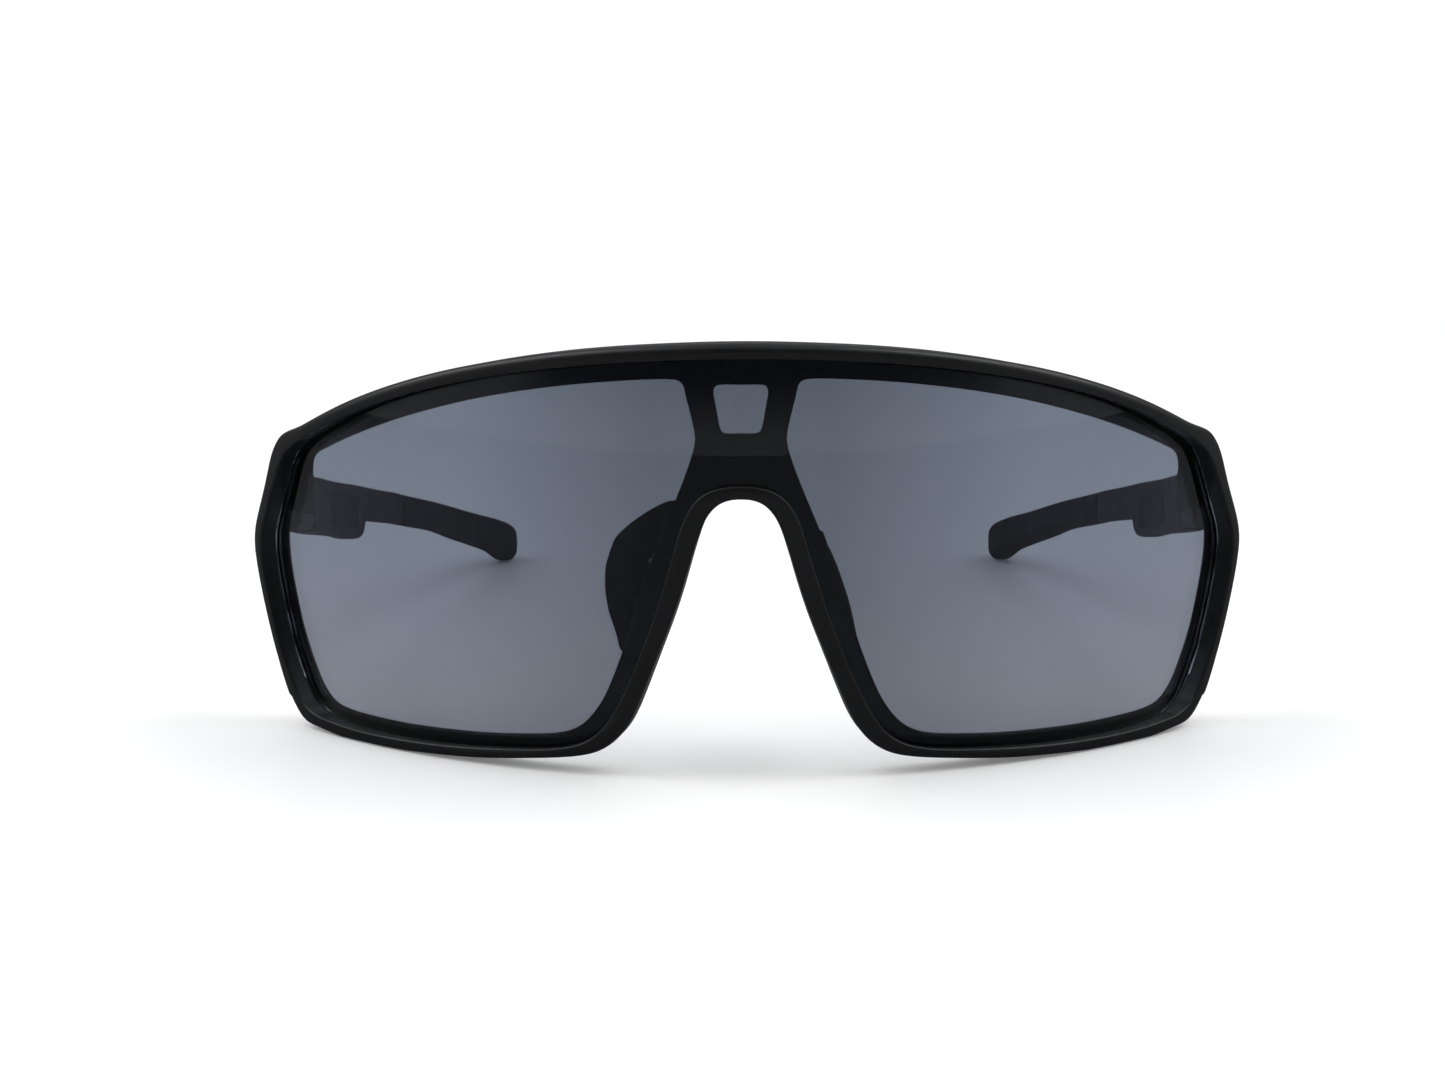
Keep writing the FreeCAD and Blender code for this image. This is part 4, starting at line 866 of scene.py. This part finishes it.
for side, nm in ((1, "left"), (-1, "right")):
    secs = []
    for y in list(np.arange(27.0, HY - 0.6, 0.55)) + [HY - 0.55, HY - 0.4, HY - 0.27, HY - 0.18, HY - 0.12, HY - 0.1]:
        e = (HY - 0.1) - y
        inset = 0.45 - math.sqrt(max(0.0, 0.45 ** 2 - (0.45 - e) ** 2)) if e < 0.45 else 0.0
        secs.append((float(e_in(y)) + inset, float(e_out(y)) - inset, (y, float(e_top(y)) - inset), (y, float(e_bot(y)) + inset), (1.3, 0.7)))
    ep = loft("endpiece_" + nm, secs, side)
    for v in ep.data.vertices:
        ymin = (plate_y(v.co.x * 1000) - SH) / 1000
        if v.co.y < ymin:
            v.co.y = ymin
    bm = bmesh.new()
    bm.from_mesh(ep.data)
    bmesh.ops.remove_doubles(bm, verts=bm.verts, dist=2e-6)
    bmesh.ops.dissolve_degenerate(bm, dist=1e-6, edges=bm.edges)
    bmesh.ops.recalc_face_normals(bm, faces=bm.faces)
    bm.to_mesh(ep.data)
    bm.free()
    sx = side
    xa, xb = (50 * sx, 66.44 * sx) if sx > 0 else (66.44 * sx, 50 * sx)
    boolean_cut(ep, soft_box("cut4_" + nm, (xa, 20, 15.0), (xb, 60, 29.85)))
    xa, xb = (50 * sx, 67.2 * sx) if sx > 0 else (67.2 * sx, 50 * sx)
    boolean_cut(ep, soft_box("cut5_" + nm, (xa, HY - 1.8, 15.0), (xb, 60, 50)))
    assign(ep, M_FRAME)
    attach(ep, "front")

# ---------------------------------------------------------------- nose saddle
LEG = Vector((0.325, 0.0, -0.9457)).normalized()
PIN_MID = Vector((10.85, 8.1, 26.2))
PAD_DIR = Vector((0.0, 1.0, 0.0))
PAD_DIR = (PAD_DIR - LEG * PAD_DIR.dot(LEG)).normalized()
PAD_N = PAD_DIR.cross(-LEG).normalized()

B = Builder()
sad, _ = loop(both_sides(SADDLE), 420)
E = 0.45
ids = []
for ph in np.linspace(0, math.pi / 2, 5):
    q = grow(sad, -0.2 * (1 - math.sin(ph)))
    ids.append((q, B.add(place(q[:, 0], q[:, 1], r_lens(q[:, 1], 3.74) - 0.2 * (1 - math.cos(ph))))))
for ph in np.linspace(0, math.pi / 2, 7):
    q = grow(sad, -E * (1 - math.cos(ph)))
    ids.append((q, B.add(place(q[:, 0], q[:, 1], r_lens(q[:, 1], 5.6) + E * (1 - math.sin(ph))))))
for (qa, a), (qb, b) in zip(ids, ids[1:]):
    B.strip(a, b)
for (q, i), depth in ((ids[0], 3.74), (ids[-1], 5.6)):
    pts, tri, ranges = region(q, [], 1.2, 0.4)
    extra = B.add(place(pts[len(q):, 0], pts[len(q):, 1], r_lens(pts[len(q):, 1], depth)))
    B.tris(np.concatenate([i, extra]), tri)
saddle = B.mesh("saddle_body", sharp_deg=50)
assign(saddle, M_SADDLE)
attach(saddle, "front")


def lug_mesh(name, side, d, length):
    """Lug with a web: a keyhole-shaped section swept along the wire, edges rounded."""
    ax = Vector((LEG.x * side, LEG.y, LEG.z))
    mid = Vector((PIN_MID.x * side, PIN_MID.y, PIN_MID.z))
    fwd = Vector((0, -1, 0))
    fwd = (fwd - ax * fwd.dot(ax)).normalized()
    lat = ax.cross(fwd).normalized()
    R, W, LN = 1.35, 0.9, 3.0
    prof = []
    a0 = math.asin(W / R)
    for a in np.linspace(a0, 2 * math.pi - a0, 31):
        prof.append((R * math.cos(a), R * math.sin(a)))
    prof += [(LN, -W), (LN, 0.0), (LN, W)]
    prof = np.array(prof)
    bore = np.array([(0.65 * math.cos(a), 0.65 * math.sin(a)) for a in np.linspace(0, 2 * math.pi, 33)[:-1]])
    B = Builder()
    e = 0.22
    rows = [(0.0, -e), (e * 0.3, -e * 0.3), (e, 0.0), (length - e, 0.0), (length - e * 0.3, -e * 0.3), (length, -e)]
    rings_ = []
    for t, g in rows:
        q = grow(prof, g)
        c = mid + ax * (d + t)
        rings_.append(B.add([tuple((c + fwd * float(u) + lat * float(w) - Vector((0, SH, -UP))) / 1000.0) for u, w in q]))
    for a, b in zip(rings_, rings_[1:]):
        B.strip(a, b)
    bores = []
    for t in (0.0, length):
        c = mid + ax * (d + t)
        bores.append(B.add([tuple((c + fwd * float(u) + lat * float(w) - Vector((0, SH, -UP))) / 1000.0) for u, w in bore]))
    B.strip(bores[0], bores[1])
    for ring, br in ((rings_[0], bores[0]), (rings_[-1], bores[1])):
        pts, tri, _r = region(grow(prof, -e), [bore], 5.0, 0.3)
        B.tris(np.concatenate([ring, br]), tri[(tri < len(prof) + len(bore)).all(1)])
    return B.mesh(name, sharp_deg=40)


for side, nm in ((1, "left"), (-1, "right")):
    for i, (d, ln) in enumerate(((-4.6, 2.2), (2.4, 2.2))):
        lg = lug_mesh("saddle_lug_%s_%d" % (nm, i), side, d, ln)
        assign(lg, M_SADDLE)
        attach(lg, "front")
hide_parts("nose_saddle")

# ---------------------------------------------------------------- nose pads
PAD_ROWS = [(-12.9, 0.4, 0.5, 0.4, 0.05), (-11.2, 1.15, 0.85, 1.45, 0.0), (-8.7, 2.65, 1.2, 3.35, 0.0), (-5.8, 3.75, 1.4, 4.65, 0.0),
            (-3.4, 4.3, 1.4, 5.15, 0.0), (-0.3, 4.35, 1.4, 5.25, -0.1), (2.3, 3.75, 1.15, 4.65, -0.35), (4.9, 2.75, 0.85, 3.55, -0.65),
            (7.5, 1.5, 0.55, 2.0, -0.85), (8.7, 0.7, 0.4, 1.0, -0.95)]
ups = [r[0] for r in PAD_ROWS]
fr = [cubic(ups, [r[k] for r in PAD_ROWS]) for k in range(1, 5)]
OPEN = {"left": 0.0, "right": 39.0}


def pad_mesh(name, side, nm):
    B = Builder()
    turn = Matrix.Rotation(math.radians(OPEN[nm]) * side, 3, Vector((LEG.x * side, LEG.y, LEG.z)))
    mid = Vector((PIN_MID.x * side, PIN_MID.y, PIN_MID.z))
    ring_list = []
    n = 40
    us = np.concatenate([[-12.9, -12.87, -12.78, -12.62, -12.4], np.linspace(-12.1, 7.9, 44), [8.15, 8.38, 8.55, 8.66, 8.7]])
    for up in us:
        hw, ht, back, out = (float(f(up)) for f in fr)
        e = min(up + 12.9, 8.7 - up)
        cap = math.sqrt(max(0.0, 1 - (1 - min(1.0, e / 0.6)) ** 2))
        hw, ht = hw * (0.3 + 0.7 * cap), ht * (0.2 + 0.8 * cap)
        centre = PIN_MID + LEG * (-up) + PAD_DIR * (back + 1.0) + PAD_N * out
        pts = []
        for j in range(n):
            a = 2 * math.pi * j / n
            ca, sa = math.cos(a), math.sin(a)
            u = hw * math.copysign(abs(ca) ** 0.8, ca)
            # a rounded oval section; the dish term is zero, so the skin side is not dished
            dish = 0.0
            w = ht * math.copysign(abs(sa) ** 0.72, sa) - dish
            p = centre + PAD_DIR * u + PAD_N * w
            q = Vector((p.x * side, p.y, p.z))
            q = turn @ (q - mid) + mid
            pts.append((q.x / 1000, (q.y - SH) / 1000, (q.z + UP) / 1000))
        ring_list.append(B.add(pts))
    for a, b in zip(ring_list, ring_list[1:]):
        B.strip(a, b)
    for ring in (ring_list[0], ring_list[-1]):
        c = B.add([np.mean([B.v[int(k)] for k in ring], axis=0)])[0]
        for i in range(n):
            B.f.append((int(c), int(ring[i]), int(ring[(i + 1) % n])))
    ob = B.mesh(name, sharp_deg=75)
    return ob


for side, nm in ((1, "left"), (-1, "right")):
    pd = pad_mesh("nose_pad_soft_" + nm, side, nm)
    assign(pd, M_PAD)
    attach(pd, "pad_" + nm)
    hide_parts("nose_pad_" + nm)

# ---------------------------------------------------------------- metal parts kept from the design
for nm in ("left", "right"):
    for node in ("frame_hinge_leaf_", "temple_hinge_leaf_", "hinge_screw_", "temple_leaf_pins_"):
        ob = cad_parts[node + nm]
        assign(ob, M_STEEL)
    assign(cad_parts["nose_pad_core_" + nm], M_WIRE)
assign(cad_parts["frame_leaf_pins"], M_STEEL)

# ---------------------------------------------------------------- floor, backdrop, light, camera


def mirrored(nt):
    """1 for rays that were mirrored off a glossy part, 0 for those seen directly or through the lens."""
    lp = N(nt, "ShaderNodeLightPath")
    inv = N(nt, "ShaderNodeMath", operation="SUBTRACT")
    inv.inputs[0].default_value = 1.0
    nt.links.new(lp.outputs["Is Transmission Ray"], inv.inputs[1])
    both = N(nt, "ShaderNodeMath", operation="MULTIPLY")
    nt.links.new(lp.outputs["Is Glossy Ray"], both.inputs[0])
    nt.links.new(inv.outputs[0], both.inputs[1])
    return both.outputs[0]


def floor_material():
    m, nt, out = node_mat("table_gloss_white")
    L = nt.links
    tc = N(nt, "ShaderNodeTexCoord")
    nz = N(nt, "ShaderNodeTexNoise")
    nz.inputs["Scale"].default_value = 3.0
    nz.inputs["Detail"].default_value = 3.0
    L.new(tc.outputs["Object"], nz.inputs["Vector"])
    c = ramp(nt, nz.outputs["Fac"], [(0.3, (0.90, 0.90, 0.905)), (0.7, (0.92, 0.92, 0.92))])
    p = N(nt, "ShaderNodeBsdfPrincipled")
    L.new(c.outputs["Color"], p.inputs["Base Color"])
    p.inputs["Roughness"].default_value = 0.32
    p.inputs["Specular IOR Level"].default_value = 0.22
    # painted light: the table glows faintly all over, which lifts its shadows in place of bounce light
    p.inputs["Emission Color"].default_value = (1.0, 1.0, 1.0, 1.0)
    p.inputs["Emission Strength"].default_value = 0.15
    # mirror images of the table in the glossy parts are held back, as behind a polarising filter
    dim = N(nt, "ShaderNodeBsdfDiffuse")
    dim.inputs["Color"].default_value = (0.16, 0.162, 0.17, 1.0)
    # further out the table runs into plain white light, so no edge of it shows from any side
    flat_ = N(nt, "ShaderNodeMapping")
    flat_.inputs["Scale"].default_value = (1.0, 1.0, 0.6)
    L.new(tc.outputs["Object"], flat_.inputs["Vector"])
    far = N(nt, "ShaderNodeVectorMath", operation="LENGTH")
    L.new(flat_.outputs["Vector"], far.inputs[0])
    fade = N(nt, "ShaderNodeMapRange", interpolation_type="SMOOTHSTEP")
    L.new(far.outputs["Value"], fade.inputs["Value"])
    fade.inputs["From Min"].default_value = 0.28
    fade.inputs["From Max"].default_value = 0.85
    glow = N(nt, "ShaderNodeEmission")
    glow.inputs["Color"].default_value = (1.0, 1.0, 1.0, 1.0)
    glow.inputs["Strength"].default_value = 1.02
    near = N(nt, "ShaderNodeMixShader")
    L.new(fade.outputs["Result"], near.inputs[0])
    L.new(p.outputs[0], near.inputs[1])
    L.new(glow.outputs[0], near.inputs[2])
    mix = N(nt, "ShaderNodeMixShader")
    L.new(mirrored(nt), mix.inputs[0])
    L.new(near.outputs[0], mix.inputs[1])
    L.new(dim.outputs[0], mix.inputs[2])
    L.new(mix.outputs[0], out.inputs["Surface"])
    return m


def cyclorama():
    """Table that curves up into the backdrop."""
    B = Builder()
    prof = [(-1.6, 0.0), (-0.6, 0.0), (0.0, 0.0), (0.35, 0.0), (0.7, 0.0)]
    for a in np.linspace(0, math.pi / 2, 17)[1:]:
        prof.append((0.7 + 0.6 * math.sin(a), 0.6 - 0.6 * math.cos(a)))
    prof.append((1.3, 2.2))
    xs = np.linspace(-2.2, 2.2, 9)
    rows = [B.add([(x, y, z) for x in xs]) for y, z in prof]
    for a, b in zip(rows, rows[1:]):
        for i in range(len(xs) - 1):
            B.f.append((int(a[i]), int(a[i + 1]), int(b[i + 1]), int(b[i])))
    me_ = bpy.data.meshes.new("table")
    me_.from_pydata(B.v, [], B.f)
    for p in me_.polygons:
        p.use_smooth = True
    ob = bpy.data.objects.new("table", me_)
    COL.objects.link(ob)
    return ob


floor = cyclorama()
assign(floor, floor_material())

world = bpy.data.worlds.new("studio")
scene.world = world
world.use_nodes = True
nt = world.node_tree
nt.nodes.clear()
L = nt.links
wout = N(nt, "ShaderNodeOutputWorld")
tc = N(nt, "ShaderNodeTexCoord")
sep = N(nt, "ShaderNodeSeparateXYZ")
L.new(tc.outputs["Generated"], sep.inputs[0])
# a soft-edged dark opening in front, where the camera stands; white walls elsewhere
az = N(nt, "ShaderNodeMath", operation="ARCTAN2")
L.new(sep.outputs["X"], az.inputs[0])
neg = N(nt, "ShaderNodeMath", operation="MULTIPLY")
neg.inputs[1].default_value = -1.0
L.new(sep.outputs["Y"], neg.inputs[0])
L.new(neg.outputs[0], az.inputs[1])
off = N(nt, "ShaderNodeMath", operation="SUBTRACT")
off.inputs[1].default_value = 0.06
L.new(az.outputs[0], off.inputs[0])
ab = N(nt, "ShaderNodeMath", operation="ABSOLUTE")
L.new(off.outputs[0], ab.inputs[0])
m1 = N(nt, "ShaderNodeMapRange", interpolation_type="SMOOTHSTEP")
L.new(ab.outputs[0], m1.inputs["Value"])
m1.inputs["From Min"].default_value = 0.70
m1.inputs["From Max"].default_value = 0.98
m1.inputs["To Min"].default_value = 1.0
m1.inputs["To Max"].default_value = 0.0
m2 = N(nt, "ShaderNodeMapRange", interpolation_type="SMOOTHSTEP")
L.new(sep.outputs["Z"], m2.inputs["Value"])
m2.inputs["From Min"].default_value = -0.02
m2.inputs["From Max"].default_value = 0.10
m3 = N(nt, "ShaderNodeMapRange", interpolation_type="SMOOTHSTEP")
L.new(sep.outputs["Z"], m3.inputs["Value"])
m3.inputs["From Min"].default_value = 0.55
m3.inputs["From Max"].default_value = 0.8
m3.inputs["To Min"].default_value = 1.0
m3.inputs["To Max"].default_value = 0.0
mu = N(nt, "ShaderNodeMath", operation="MULTIPLY")
L.new(m1.outputs["Result"], mu.inputs[0])
L.new(m2.outputs["Result"], mu.inputs[1])
mv = N(nt, "ShaderNodeMath", operation="MULTIPLY")
L.new(mu.outputs[0], mv.inputs[0])
L.new(m3.outputs["Result"], mv.inputs[1])
wc = N(nt, "ShaderNodeMix", data_type="RGBA")
wc.inputs["A"].default_value = (1.0, 1.0, 1.0, 1.0)
wc.inputs["B"].default_value = (0.05, 0.055, 0.065, 1.0)
L.new(mv.outputs[0], wc.inputs["Factor"])
bg = N(nt, "ShaderNodeBackground")
bg.inputs["Strength"].default_value = 0.8
L.new(wc.outputs["Result"], bg.inputs["Color"])
ws = N(nt, "ShaderNodeMapRange")
L.new(mirrored(nt), ws.inputs["Value"])
ws.inputs["To Min"].default_value = 0.8
ws.inputs["To Max"].default_value = 0.42
L.new(ws.outputs["Result"], bg.inputs["Strength"])
# seen directly, or through the lens, the surroundings are plain white
wp = N(nt, "ShaderNodeLightPath")
seen = N(nt, "ShaderNodeMath", operation="MAXIMUM")
L.new(wp.outputs["Is Camera Ray"], seen.inputs[0])
L.new(wp.outputs["Is Transmission Ray"], seen.inputs[1])
plain = N(nt, "ShaderNodeBackground")
plain.inputs["Color"].default_value = (1.0, 1.0, 1.0, 1.0)
plain.inputs["Strength"].default_value = 1.02
wm = N(nt, "ShaderNodeMixShader")
L.new(seen.outputs[0], wm.inputs[0])
L.new(bg.outputs[0], wm.inputs[1])
L.new(plain.outputs[0], wm.inputs[2])
L.new(wm.outputs[0], wout.inputs["Surface"])


def area(name, loc, target, size, power, shape="RECTANGLE", size_y=None):
    ld = bpy.data.lights.new(name, "AREA")
    ld.shape = shape
    ld.size = size
    if size_y:
        ld.size_y = size_y
    ld.energy = power
    ob = bpy.data.objects.new(name, ld)
    ob.location = loc
    ob.rotation_euler = (Vector(target) - Vector(loc)).to_track_quat("-Z", "Y").to_euler()
    COL.objects.link(ob)
    return ob


area("overhead_left", (-0.62, 0.0, 0.82), (0, 0, 0), 0.55, 3.2, size_y=0.8)
area("overhead_right", (0.62, 0.0, 0.82), (0, 0, 0), 0.55, 3.2, size_y=0.8)
area("side_soft_left", (-0.95, -0.15, 0.5), (0, 0, 0.03), 0.7, 0.6, size_y=0.7)
area("side_soft_right", (0.95, -0.15, 0.5), (0, 0, 0.03), 0.7, 0.6, size_y=0.7)
area("back_wash", (0.0, 0.75, 0.8), (0, 1.2, 0.15), 1.4, 4.0, size_y=0.5)

cam_d = bpy.data.cameras.new("cam")
cam_d.sensor_fit = "HORIZONTAL"
cam_d.sensor_width = 36.0
cam_d.lens = 2100.0 / 1445.0 * 36.0
cam_d.clip_start = 0.01
cam_d.clip_end = 20
cam = bpy.data.objects.new("cam", cam_d)
COL.objects.link(cam)
psi, pitch, roll = 0.0235, math.radians(10.632), 0.0068
fwd = Vector((-math.sin(psi) * math.cos(pitch), math.cos(psi) * math.cos(pitch), -math.sin(pitch)))
q = fwd.to_track_quat("-Z", "Y")
cam.rotation_mode = "QUATERNION"
from mathutils import Quaternion
cam.rotation_quaternion = Quaternion(fwd, roll) @ q
cam.location = mm(3.85, -266.4, 80.89)
scene.camera = cam
scene.view_settings.view_transform = "Standard"
scene.view_settings.look = "None"
scene.view_settings.exposure = 0.0
